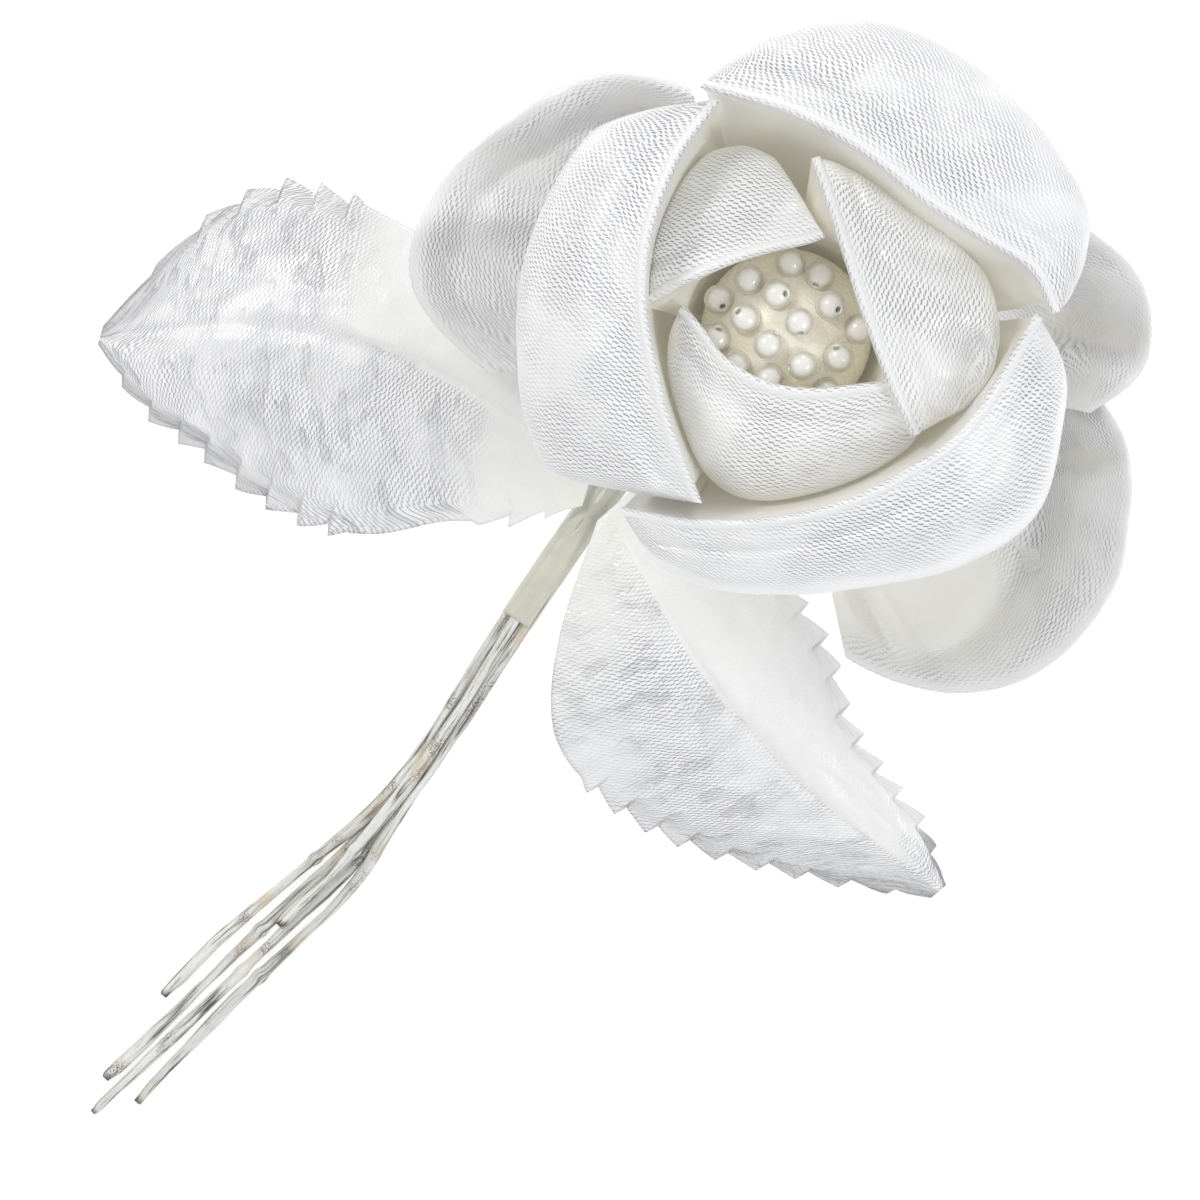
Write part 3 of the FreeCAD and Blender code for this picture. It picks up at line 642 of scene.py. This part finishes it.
MIDDLE_PETALS = {
    "middle_left": dict(
        rim=plan((-5.9, 19.7), (-9.4, 14.6), (-11.8, 8.0), (-12.2, 2.0), (-11.0, -4.6), (-9.6, -9.6),
                 (-7.4, -15.0)),
        edge=plan((-13.2, 20.0), (-18.6, 15.6), (-22.4, 8.0), (-23.6, 1.6), (-23.4, -4.6), (-22.2, -9.4),
                  (-20.2, -13.4)),
        rim_z=[32.0, 33.8, 34.0, 34.0, 34.0, 33.8, 32.6],
        edge_z=[25.0, 25.0, 25.0, 25.0, 25.0, 25.5, 26.5],
        width=46.0, depth=62.0, grain=84.0, plain_from=0.6, seed=1.0, rounding=(0.1, 0.06),
        creases=[(0.16, 0.7, 0.2), (0.62, -0.25, 0.1)],
        dimples=[(0.08, 0.44, 0.8, 0.05)]),
    "middle_bottom": dict(
        rim=plan((-14.6, -15.2), (-8.6, -16.2), (-2.4, -16.2), (3.8, -14.9), (9.6, -12.2), (15.4, -7.8),
                 (21.2, 1.5)),
        edge=plan((-12.6, -20.0), (-6.2, -22.4), (0.8, -22.8), (8.0, -22.0), (15.4, -20.2), (22.2, -14.8),
                  (25.0, -1.6)),
        rim_z=[30.6, 31.8, 32.6, 33.0, 33.2, 32.8, 30.0],
        edge_z=[25.5, 25.0, 25.0, 25.0, 25.0, 25.0, 25.0],
        width=50.0, depth=60.0, grain=-12.0, plain_from=0.49, seed=2.0, rounding=(0.06, 0.05),
        creases=[(0.3, 0.3, -0.2), (0.8, 0.35, 0.2), (0.93, 0.5, 0.3)]),
    "middle_top": dict(
        rim=plan((22.4, 2.3), (20.3, 5.2), (16.0, 7.8), (11.4, 10.8), (6.4, 14.8), (0.4, 18.2), (-7.4, 20.8)),
        edge=plan((25.0, 3.6), (26.2, 9.0), (24.8, 13.6), (20.6, 19.4), (13.6, 25.0), (5.6, 27.2),
                  (-3.6, 25.8)),
        rim_z=[33.2, 33.8, 34.0, 34.0, 34.0, 34.0, 33.4],
        edge_z=[26.5, 25.5, 25.0, 25.0, 25.0, 25.0, 25.5],
        width=50.0, depth=62.0, grain=6.0, plain_from=0.58, seed=3.0, rounding=(0.09, 0.11), lap=(-2.8, 1.0),
        creases=[(0.35, 0.4, 0.1), (0.12, 0.3, -0.2), (0.8, -0.2, 0.1)]),
}
# the three petals that close over the beads
INNER_PETALS = {
    "inner_bottom": dict(
        rim=plan((-9.0, 2.4), (-7.4, 0.4), (-5.2, -2.4), (-1.6, -4.4), (2.6, -4.9), (7.2, -4.4), (11.0, -4.2)),
        edge=plan((-11.2, -0.4), (-9.6, -6.8), (-7.2, -12.2), (-3.2, -14.6), (2.8, -13.9), (8.8, -11.4),
                  (13.2, -7.4)),
        rim_z=[27.0, 27.8, 28.4, 28.8, 28.8, 28.4, 27.4],
        edge_z=[24.0, 24.0, 24.0, 24.0, 24.0, 24.0, 24.0],
        width=30.0, depth=38.0, grain=22.0, plain_from=0.6, seed=4.0),
    "inner_top": dict(
        rim=plan((3.2, 8.0), (1.6, 7.4), (-1.0, 6.8), (-4.2, 5.9), (-7.4, 4.6), (-10.0, 3.4), (-12.4, 2.0)),
        edge=plan((-0.2, 14.4), (-1.8, 15.5), (-4.2, 16.2), (-7.0, 15.4), (-9.8, 12.4), (-11.8, 8.2),
                  (-12.3, 3.6)),
        rim_z=[28.6, 29.3, 29.4, 29.4, 29.2, 28.8, 28.0],
        edge_z=[25.0, 25.0, 25.0, 25.0, 25.0, 25.0, 25.0],
        width=24.0, depth=38.0, grain=-8.0, plain_from=0.62, seed=5.0),
    "inner_right": dict(
        rim=plan((10.6, -9.2), (8.9, -5.6), (7.3, -1.6), (5.9, 2.4), (4.7, 6.2), (3.4, 10.4), (1.9, 14.8)),
        edge=plan((13.2, -8.2), (16.8, -5.4), (18.4, -1.2), (17.6, 3.8), (14.8, 7.6), (10.2, 10.8),
                  (4.2, 15.6)),
        rim_z=[28.6, 29.6, 30.0, 30.0, 30.0, 29.8, 29.0],
        edge_z=[25.0, 26.2, 27.4, 26.4, 25.0, 25.0, 25.0],
        width=34.0, depth=40.0, grain=4.0, plain_from=0.62, seed=6.0,
        creases=[(0.22, 0.9, 0.3), (0.5, -0.7, 0.6), (0.72, 0.6, 0.5)],
        dimples=[(0.34, 0.50, 2.4, 0.08), (0.52, 0.46, -0.9, 0.07)]),
}
# angles in degrees round the flower, radii from its axis
OUTER_PETALS = {
    "outer_left": dict(
        angles=(187.0, 111.0), radii=[26.0, 33.0, 32.9, 30.4, 28.2, 23.2],
        rim_z=[11.0, 14.6, 14.8, 15.0, 15.4, 15.6], foot_z=8.6, sag=[0.0, 0.0], width=40.0, depth=46.0,
        folds=[(0.36, 1.3, 0.3, 0.06, 0.85, 0.3), (0.56, -1.3, 0.3, 0.07, 0.8, 0.25),
               (0.72, 0.8, 0.2, 0.05, 0.8, 0.2), (0.87, -2.2, 0.0, 0.06, 0.84, 0.09)],
        roll_height=[0.3, 0.4, 0.4, 0.8, 2.4, 2.6], roll_share=[0.14, 0.14, 0.14, 0.16, 0.2, 0.24],
        cream=[0.0, 0.0], grain=12.0, seed=7.0),
    "outer_right": dict(
        angles=(27.0, -14.0), radii=[25.6, 28.4, 31.2, 32.2, 31.4, 27.6],
        rim_z=[12.0, 12.6, 12.6, 12.4, 12.0, 11.0], foot_z=8.4, sag=[6.0, 6.0], width=24.0, depth=46.0,
        folds=[(0.60, -3.2, -0.4, 0.095, 0.78, 0.2), (0.40, 1.8, -0.4, 0.09, 0.84, 0.2),
               (0.80, 1.6, -0.3, 0.09, 0.84, 0.2)],
        roll_height=[0.2, 0.4, 0.6, 0.7, 0.6, 0.3], roll_share=[0.14, 0.16, 0.2, 0.2, 0.18, 0.14],
        cream=[0.0, 0.0], grain=8.0, seed=8.0),
    "outer_fold": dict(
        angles=(-11.0, -41.6), radii=[28.4, 31.4, 33.2, 34.6, 36.2, 36.9],
        rim_z=[10.0, 11.0, 11.2, 11.0, 10.2, 9.4], foot_z=8.3, sag=[6.0, 5.8, 5.0], width=19.0, depth=50.0,
        folds=[(0.34, -1.8, 0.5, 0.09, 0.86, 0.14), (0.16, 0.8, 0.3, 0.09, 0.84, 0.14)],
        roll_height=[0.4, 1.2, 2.0, 2.4, 2.4, 2.2], roll_share=[0.16, 0.22, 0.26, 0.28, 0.26, 0.24],
        cream=[0.0, 0.0, 0.2, 0.5], grain=10.0, seed=9.0),
    "outer_bottom": dict(
        angles=(-41.6, -79.0), radii=[36.9, 37.2, 36.6, 34.8, 32.0, 28.6],
        rim_z=[9.4, 9.0, 8.6, 8.4, 8.2, 8.0], foot_z=8.3, sag=[5.0, 4.6, 4.4, 4.4], width=26.0, depth=54.0,
        folds=[(0.80, 1.5, 0.25, 0.045, 0.74, 0.16), (0.70, -0.8, 0.25, 0.05, 0.76, 0.16),
               (0.92, -0.8, 0.2, 0.04, 0.76, 0.14)],
        roll_height=[2.2, 1.7, 1.0, 0.5, 0.2, 0.1], roll_share=[0.24, 0.22, 0.18, 0.13, 0.1, 0.1],
        cream=[0.5, 0.78, 0.88, 0.9, 0.9, 0.9], grain=10.0, seed=10.0),
}
for petal_name, petal_shape in MIDDLE_PETALS.items():
    folded_petal(petal_name, foot_radius=9.0, hollow=0.0, finish=PETAL_SATIN, slot="petal_satin", **petal_shape)
for petal_name, petal_shape in INNER_PETALS.items():
    folded_petal(petal_name, foot_radius=5.2, hollow=8.9, finish=INNER_SATIN, slot="inner_satin", **petal_shape)
for petal_name, petal_shape in OUTER_PETALS.items():
    spread_petal(petal_name, **petal_shape)


# ---- leaves -----------------------------------------------------------------------------------
LEAVES = {
    "leaf_left": dict(
        root=(-1.9, 9.0), heading=163.9, length=45.8, arch=-5.5, rise=4.4, droop=(1.5, 6.2),
        right=[2.5, 7.0, 9.0, 10.5, 11.5, 12.8, 13.2, 9.5, 0.9],
        left=[2.8, 8.0, 11.4, 15.4, 16.6, 15.1, 11.5, 7.5, 0.9],
        flat=(30.0, 46.0), smooth_until=(0.56, 0.24),
        pinked=([(0.56, 1.1)], [(0.02, 0.2), (0.42, 1.1)]), seed=3.0),
    "leaf_lower": dict(
        root=(-0.2, 6.0), heading=-49.3, length=45.2, arch=-3.5, rise=2.8, droop=(4.4, -1.5),
        right=[1.5, 9.5, 14.0, 14.4, 12.9, 10.6, 7.5, 4.2, 0.9],
        left=[3.5, 8.3, 10.5, 10.8, 10.0, 7.2, 5.7, 4.2, 0.9],
        flat=(27.0, 46.0), smooth_until=(0.05, 0.9),
        pinked=([(0.36, 1.1)], [(0.1, 1.1)]), seed=8.0),
}


def leaf(name, root, heading, length, arch, rise, droop, right, left, flat, smooth_until, pinked, seed):
    """Stamped satin leaf with a pinked edge, pressed veins and a soft curl.

    right and left are the half widths from root to tip, arch how far the middle bows aside and rise how far it
    lifts. Pairs are for the right and left halves: droop of the edge, the share up to which the cloth is smooth
    and the stretches where the edge is pinked."""
    turn = math.radians(heading)

    def place(u, share):
        across = u * 2.0 - 1.0
        side = 1 if across > 0 else 0
        swell = math.sin(math.pi * share)
        half = along(left if side else right, share)
        tooth = (share * LEAF_TEETH + 0.15 * ripple(share * 9.0, side, seed, 1.0)) % 1.0
        cut = max(ease((share - start) / 0.02) * ease((end - share) / 0.02) for start, end in pinked[side])
        edge = ease((abs(across) - 0.8) / 0.2) * ease(swell * 3.0) * cut
        aside = arch * swell + half * across + LEAF_TOOTH * (tooth - 0.5) * edge * (1.0 if side else -1.0)
        height = mix(LEAF_ROOT_Z, LEAF_TIP_Z, share) + rise * swell
        height -= droop[side] * abs(across) ** 1.5 * swell ** 1.5
        height -= 0.45 * bump_at(across, 0.0, 0.06) * swell
        height += 0.55 * ripple(share * 5.0, across * 2.4, seed + 4.0, 1.0) * swell
        height += 0.18 * ripple(share * 16.0, across * 7.0, seed + 9.0, 1.0) * swell
        return Vector((root[0] + length * share * math.cos(turn) - aside * math.sin(turn),
                       root[1] + length * share * math.sin(turn) + aside * math.cos(turn),
                       max(height, LEAF_LOWEST_Z)))

    def smoothness(u, v):
        side = ease((u - 0.47) / 0.06)
        limit = mix(smooth_until[0], smooth_until[1], side)
        return 1.0 - ease((v + 0.04 * ripple(u * 6.0, v * 9.0, seed, 1.0) - limit + 0.06) / 0.12)

    # Mask of painted cream shade and glow: strongest at the root, fading over the first third, and some over
    # the smooth parts.
    def tone(u, v):
        return max(ease((0.3 - v) / 0.3) * 0.9, smoothness(u, v) * 0.4)

    def calm(u, v):
        return smoothness(u, v) * 0.9

    piece = cloth_object("satin_" + name, 56, 220, place, tone, calm, grain=24.0, smooth=0)
    thick = piece.modifiers.new("cloth thickness", "SOLIDIFY")
    thick.thickness = LEAF_THICKNESS * MM
    thick.offset = 0.0
    dress(piece, LEAF_SATIN, "leaf_satin", name, name)


for leaf_name, leaf_shape in LEAVES.items():
    leaf(leaf_name, **leaf_shape)


# ---- bead centre ------------------------------------------------------------------------------
# across and ahead of the flower's axis
PEARL_PLACES = [
    (-0.9, 3.3), (-3.7, 1.2), (1.0, 0.8), (-1.7, -1.1), (1.3, -2.9), (3.8, 2.3), (4.5, -2.2), (2.9, 5.0),
    (0.3, 6.1), (-3.3, 4.6), (-5.9, 2.9), (-6.2, -0.5), (-4.5, -2.9), (-1.6, -4.1), (6.3, 0.3), (3.4, -5.2),
]


def pearl_strand():
    """Drilled pearls, each turned from a half section about its hole."""
    bm = bmesh.new()
    for index, (across, ahead) in enumerate(PEARL_PLACES):
        seat = math.sqrt(PEARL_SEAT_RADIUS ** 2 - across ** 2 - ahead ** 2)
        centre = FLOWER + Vector((across, ahead, CORE_Z + seat))
        turn = math.radians(PEARL_TURN * index)
        lean = math.radians(35.0 + 9.0 * (index % 5))
        axis = Vector((math.cos(turn) * math.sin(lean), math.sin(turn) * math.sin(lean), math.cos(lean)))
        side = axis.orthogonal().normalized()
        first = math.asin(PEARL_HOLE_RADIUS / PEARL_RADIUS)
        outline = []
        for step in range(17):
            angle = mix(first, math.pi - first, step / 16)
            outline.append(centre + (axis * math.cos(angle) + side * math.sin(angle)) * PEARL_RADIUS)
        hole_depth = PEARL_RADIUS * math.cos(first)
        outline.append(centre - axis * (hole_depth - 0.12) + side * 0.24)
        outline.append(centre + axis * (hole_depth - 0.12) + side * 0.24)
        verts = [bm.verts.new(point * MM) for point in outline]
        edges = [bm.edges.new((verts[i], verts[(i + 1) % len(verts)])) for i in range(len(verts))]
        bmesh.ops.spin(bm, geom=verts + edges, cent=centre * MM, axis=axis, angle=math.tau, steps=28,
                       use_merge=True)
    bmesh.ops.remove_doubles(bm, verts=bm.verts, dist=1e-7)
    bmesh.ops.recalc_face_normals(bm, faces=bm.faces)
    for face in bm.faces:
        face.smooth = True
    mesh = bpy.data.meshes.new("pearls_drilled")
    bm.to_mesh(mesh)
    bm.free()
    piece = bpy.data.objects.new("pearls_drilled", mesh)
    bpy.context.collection.objects.link(piece)
    dress(piece, PEARL, "pearl", "flower_head", "pearls")


pearl_strand()


# ---- stem -------------------------------------------------------------------------------------
BUNDLE_PLAN = plan((15.2, 21.2), (5.3, 14.9), (-1.1, 7.4), (-8.6, -3.9), (-15.2, -14.4), (-20.5, -21.5))
PARTING = Vector((-24.3, -26.1, 0.0))  # where the wires leave the bundle and lie in a row
FAN = math.radians(-137.0)
# for each wire: its angle in the bundle, its step in the row (None: it lies on the others), its places past the
# parting and the body of its tail
WIRES = {
    "side": (162.0, -1.5, [(8.0, -2.6), (14.0, -2.9), (19.6, -2.4)], "tail_side"),
    "upper": (234.0, -0.5, [(9.0, -0.9), (18.0, -0.7), (28.5, -0.55)], "tail_upper"),
    "long": (306.0, 0.5, [(9.0, 0.6), (19.0, 0.85), (31.4, 0.8)], None),
    "lower": (18.0, 1.5, [(9.0, 2.1), (18.0, 2.2), (27.9, 2.8)], "tail_lower"),
    "short": (90.0, None, [(7.7, -0.15)], None),
}


def fan_place(forward, sideways, height):
    ahead = Vector((math.cos(FAN), math.sin(FAN), 0.0))
    left = Vector((-math.sin(FAN), math.cos(FAN), 0.0))
    point = PARTING + ahead * forward + left * sideways
    point.z = height
    return point


def bundle_point(index, sideways, upward):
    """Corner of the bundle moved sideways with its runs kept parallel."""
    points = BUNDLE_PLAN
    before = points[max(index, 1)] - points[max(index - 1, 0)]
    after = points[min(index + 1, len(points) - 1)] - points[min(index, len(points) - 2)]
    first = math.atan2(before.y, before.x)
    last = math.atan2(after.y, after.x)
    step = sideways / math.cos((last - first) / 2.0)
    heading = (first + last) / 2.0
    return Vector((points[index].x - math.sin(heading) * step, points[index].y + math.cos(heading) * step,
                   BUNDLE_Z + upward))


def strand_points(sideways, upward, last):
    """Corners of one strand: down from the neck, round the bend and along the bundle to its corner last."""
    heading = (BUNDLE_PLAN[1] - BUNDLE_PLAN[0]).normalized()
    foot = bundle_point(0, sideways, upward) + heading * upward
    top = Vector((foot.x, foot.y, BUNDLE_TOP_Z))
    bend = Vector((foot.x, foot.y, BUNDLE_Z + upward + 0.2))
    return [top, bend, foot + heading * 3.0] + [
        bundle_point(index, sideways, upward) for index in range(1, last + 1)]


def smooth_route(points, step):
    """Even points along the curve that touches the middle of every run, and the curve's length."""
    ends = [points[0]] + [(a + b) * 0.5 for a, b in zip(points[1:-1], points[2:-1])] + [points[-1]]
    dense = []
    for start, corner, end in zip(ends[:-1], points[1:-1], ends[1:]):
        for index in range(24):
            t = index / 24.0
            dense.append(start * (1.0 - t) ** 2 + corner * 2.0 * t * (1.0 - t) + end * t * t)
    dense.append(points[-1].copy())
    lengths = [0.0]
    for a, b in zip(dense[:-1], dense[1:]):
        lengths.append(lengths[-1] + (b - a).length)
    count = max(int(lengths[-1] / step), 4)
    even = []
    place = 0
    for index in range(count + 1):
        goal = lengths[-1] * index / count
        while place < len(lengths) - 2 and lengths[place + 1] < goal:
            place += 1
        span = lengths[place + 1] - lengths[place]
        even.append(dense[place].lerp(dense[place + 1], (goal - lengths[place]) / span if span else 0.0))
    return even, lengths[-1]


def tube_piece(name, route, length, radius_at, around, tip=None, roll_start=0.0):
    """Rod along even route points.

    radius_at(distance, angle) shapes its skin, tip(distance, length, u) tones its far end and roll_start is
    where its wrap starts on the roll, in mm."""
    last = len(route) - 1
    side = Vector((0.0, 0.0, 1.0)).cross(route[1] - route[0])
    if side.length < 1e-6:
        side = Vector((1.0, 0.0, 0.0))
    frames = []
    for index, point in enumerate(route):
        ahead = (route[min(index + 1, last)] - route[max(index - 1, 0)]).normalized()
        side = (side - ahead * side.dot(ahead)).normalized()
        frames.append((point, side.copy(), ahead.cross(side)))

    def place(u, v):
        point, left, up = frames[round(v * last)]
        angle = u * math.tau
        radius = radius_at(v * length, angle)
        skin = point + (left * math.cos(angle) + up * math.sin(angle)) * radius
        skin.z = max(skin.z, TABLE_CLEARANCE)
        return skin

    def tone(u, v):
        return 0.0 if tip is None else tip(v * length, length, u)

    piece = cloth_object(name, around, last, place, tone, smooth=0)
    bm = bmesh.new()
    bm.from_mesh(piece.data)
    bmesh.ops.remove_doubles(bm, verts=bm.verts, dist=2e-6)
    ends = [edge for edge in bm.edges if edge.is_boundary]
    bmesh.ops.holes_fill(bm, edges=ends, sides=0)
    bmesh.ops.recalc_face_normals(bm, faces=bm.faces)
    bm.to_mesh(piece.data)
    bm.free()
    for corner in piece.data.uv_layers["cloth"].data:
        corner.uv.y += roll_start
    return piece


def wrapped_wires():
    """The five paper-wrapped wires; the two without a tail go on the stem and the three with one, which also
    stand for their tail's wrap, on no body.
    """
    for number, (name, (ring_angle, row_step, fan, tail)) in enumerate(WIRES.items()):
        turn = math.radians(ring_angle)
        sideways, upward = RING_RADIUS * math.cos(turn), RING_RADIUS * math.sin(turn)
        points = strand_points(sideways, upward, len(BUNDLE_PLAN) - 1)
        height = WIRE_RADIUS if row_step is not None else RAISED_WIRE_Z
        points.append(fan_place(0.0, ROW_PITCH * (row_step or 0.0), height))
        points += [fan_place(*spot, height) for spot in fan]
        route, length = smooth_route(points, WIRE_STEP)

        def skin_radius(distance, angle, seed=number * 7.3, whole=length):
            twist = angle + distance * 0.16 + seed
            flat = 0.17 * math.cos(2.0 * twist)
            fold = 0.06 * math.cos(5.0 * twist + 0.3 * math.sin(distance * 0.4))
            lumps = 0.10 * ripple(distance * 0.35, math.cos(angle) * 0.6, math.sin(angle) * 0.6 + seed, 1.0)
            nick = 0.3 * bump_at(distance, whole * 0.78 + seed * 0.2, 0.5)
            tip = ease((whole + 0.25 - distance) / (1.6 + 1.2 * math.cos(angle + seed)))
            return WIRE_RADIUS * (1.0 + flat + fold + lumps + nick) * mix(0.45, 1.0, tip)

        def browner_tip(distance, whole, u, seed=number * 3.1):
            ragged = 0.5 * ripple(u * 4.0, seed, 0.0, 1.0)
            return ease((distance - whole + 0.9 + ragged) / 0.8)

        piece = tube_piece("wrapped_wire_" + name, route, length, skin_radius, 18, browner_tip, number * ROLL_STEP)
        wrap = "wire_" + name + "_wrap"
        if tail:
            dress(piece, WIRE_PAPER, "wire_paper", None, wrap, tail + "_wrap")
            before, after = fan_place(*fan[0], height), fan_place(*fan[1], height)
            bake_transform(piece)
        else:
            dress(piece, WIRE_PAPER, "wire_paper", "stem", wrap)


wrapped_wires()


def film_sleeve():
    """Film shrunk over the bundle, with the five wires showing as soft lobes."""
    route, length = smooth_route(strand_points(0.0, 0.0, 3), SLEEVE_STEP)

    def skin_radius(distance, angle):
        lobes = 0.05 * math.cos(5.0 * angle + 1.0)
        waves = 0.05 * ripple(distance * 0.4, math.cos(angle), math.sin(angle), 1.0)
        return SLEEVE_RADIUS - 0.06 + lobes + waves

    piece = tube_piece("film_sleeve", route, length, skin_radius, 40)
    dress(piece, SLEEVE_FILM, "sleeve_film", "stem", "stem_sleeve")


film_sleeve()


# ---- finishes of the pieces that stay as they are ----------------------------------------------
FINISHES = {
    "bead_core": FOAM, "bead_bed": BED_GLUE, "base_cup": FELT, "neck": TAPE, "binding_thread": THREAD,
    "leaf_left_rib": WIRE_PAPER, "leaf_lower_rib": WIRE_PAPER,
}
for wire_name, (_, _, _, tail_name) in WIRES.items():
    FINISHES["wire_" + wire_name + "_core"] = STEEL
    if tail_name:
        FINISHES[tail_name + "_core"] = STEEL

for node_name, node_finish in FINISHES.items():
    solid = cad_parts[node_name]
    solid.data.materials.clear()
    solid.data.materials.append(node_finish)


# ---- floor, light and camera -------------------------------------------------------------------
def studio():
    """Pale floor, two soft lights and a rim light, even white air and a camera straight above."""
    bm = bmesh.new()
    bmesh.ops.create_grid(bm, x_segments=2, y_segments=2, size=1.2)
    mesh = bpy.data.meshes.new("studio_floor")
    bm.to_mesh(mesh)
    bm.free()
    floor = bpy.data.objects.new("studio_floor", mesh)
    bpy.context.collection.objects.link(floor)
    material, sheet, shader = new_material("studio_floor", Roughness=0.9, Emission_Strength=0.72)
    grain = sheet.node("ShaderNodeTexCoord")
    tone = sheet.noise(grain.outputs["Object"], 3.0, 1.0)
    sheet.link(sheet.blend(tone, (0.44, 0.44, 0.44), (0.46, 0.46, 0.46)), shader.inputs["Base Color"])
    shader.inputs["Emission Color"].default_value = (1.0, 1.0, 1.0, 1.0)
    floor.data.materials.append(material)

    # name, place, aim, size of the disc, watts, colour
    for name, spot, aim, size, power, colour in (
            ("key_light", (-0.35, 0.30, 0.55), (0.0, 0.0, 0.01), 0.2, 1.35, (1.0, 0.995, 0.98)),
            ("fill_light", (0.45, -0.25, 0.5), (0.0, 0.0, 0.01), 0.3, 1.25, (0.96, 0.98, 1.0)),
            ("rim_light", (0.1, 0.6, 0.25), (0.0, 0.02, 0.02), 0.25, 0.6, (1.0, 1.0, 1.0))):
        data = bpy.data.lights.new(name, "AREA")
        data.shape = "DISK"
        data.size = size
        data.energy = power
        data.color = colour
        lamp = bpy.data.objects.new(name, data)
        lamp.location = spot
        lamp.rotation_euler = (Vector(aim) - Vector(spot)).to_track_quat("-Z", "Y").to_euler()
        bpy.context.collection.objects.link(lamp)

    world = bpy.data.worlds.new("studio_air")
    world.use_nodes = True
    background = world.node_tree.nodes["Background"]
    background.inputs["Color"].default_value = (1.0, 1.0, 1.0, 1.0)
    background.inputs["Strength"].default_value = 0.58
    bpy.context.scene.world = world

    camera_height = 0.75
    subject_height = 0.016  # the view is view_width across at this height
    view_width = 0.1056
    lens = bpy.data.cameras.new("camera")
    lens.sensor_width = 36.0
    lens.lens = lens.sensor_width * (camera_height - subject_height) / view_width
    camera = bpy.data.objects.new("camera", lens)
    camera.location = (-0.0011, -0.0021, camera_height)
    bpy.context.collection.objects.link(camera)
    bpy.context.scene.camera = camera
    bpy.context.scene.view_settings.view_transform = "Standard"


studio()
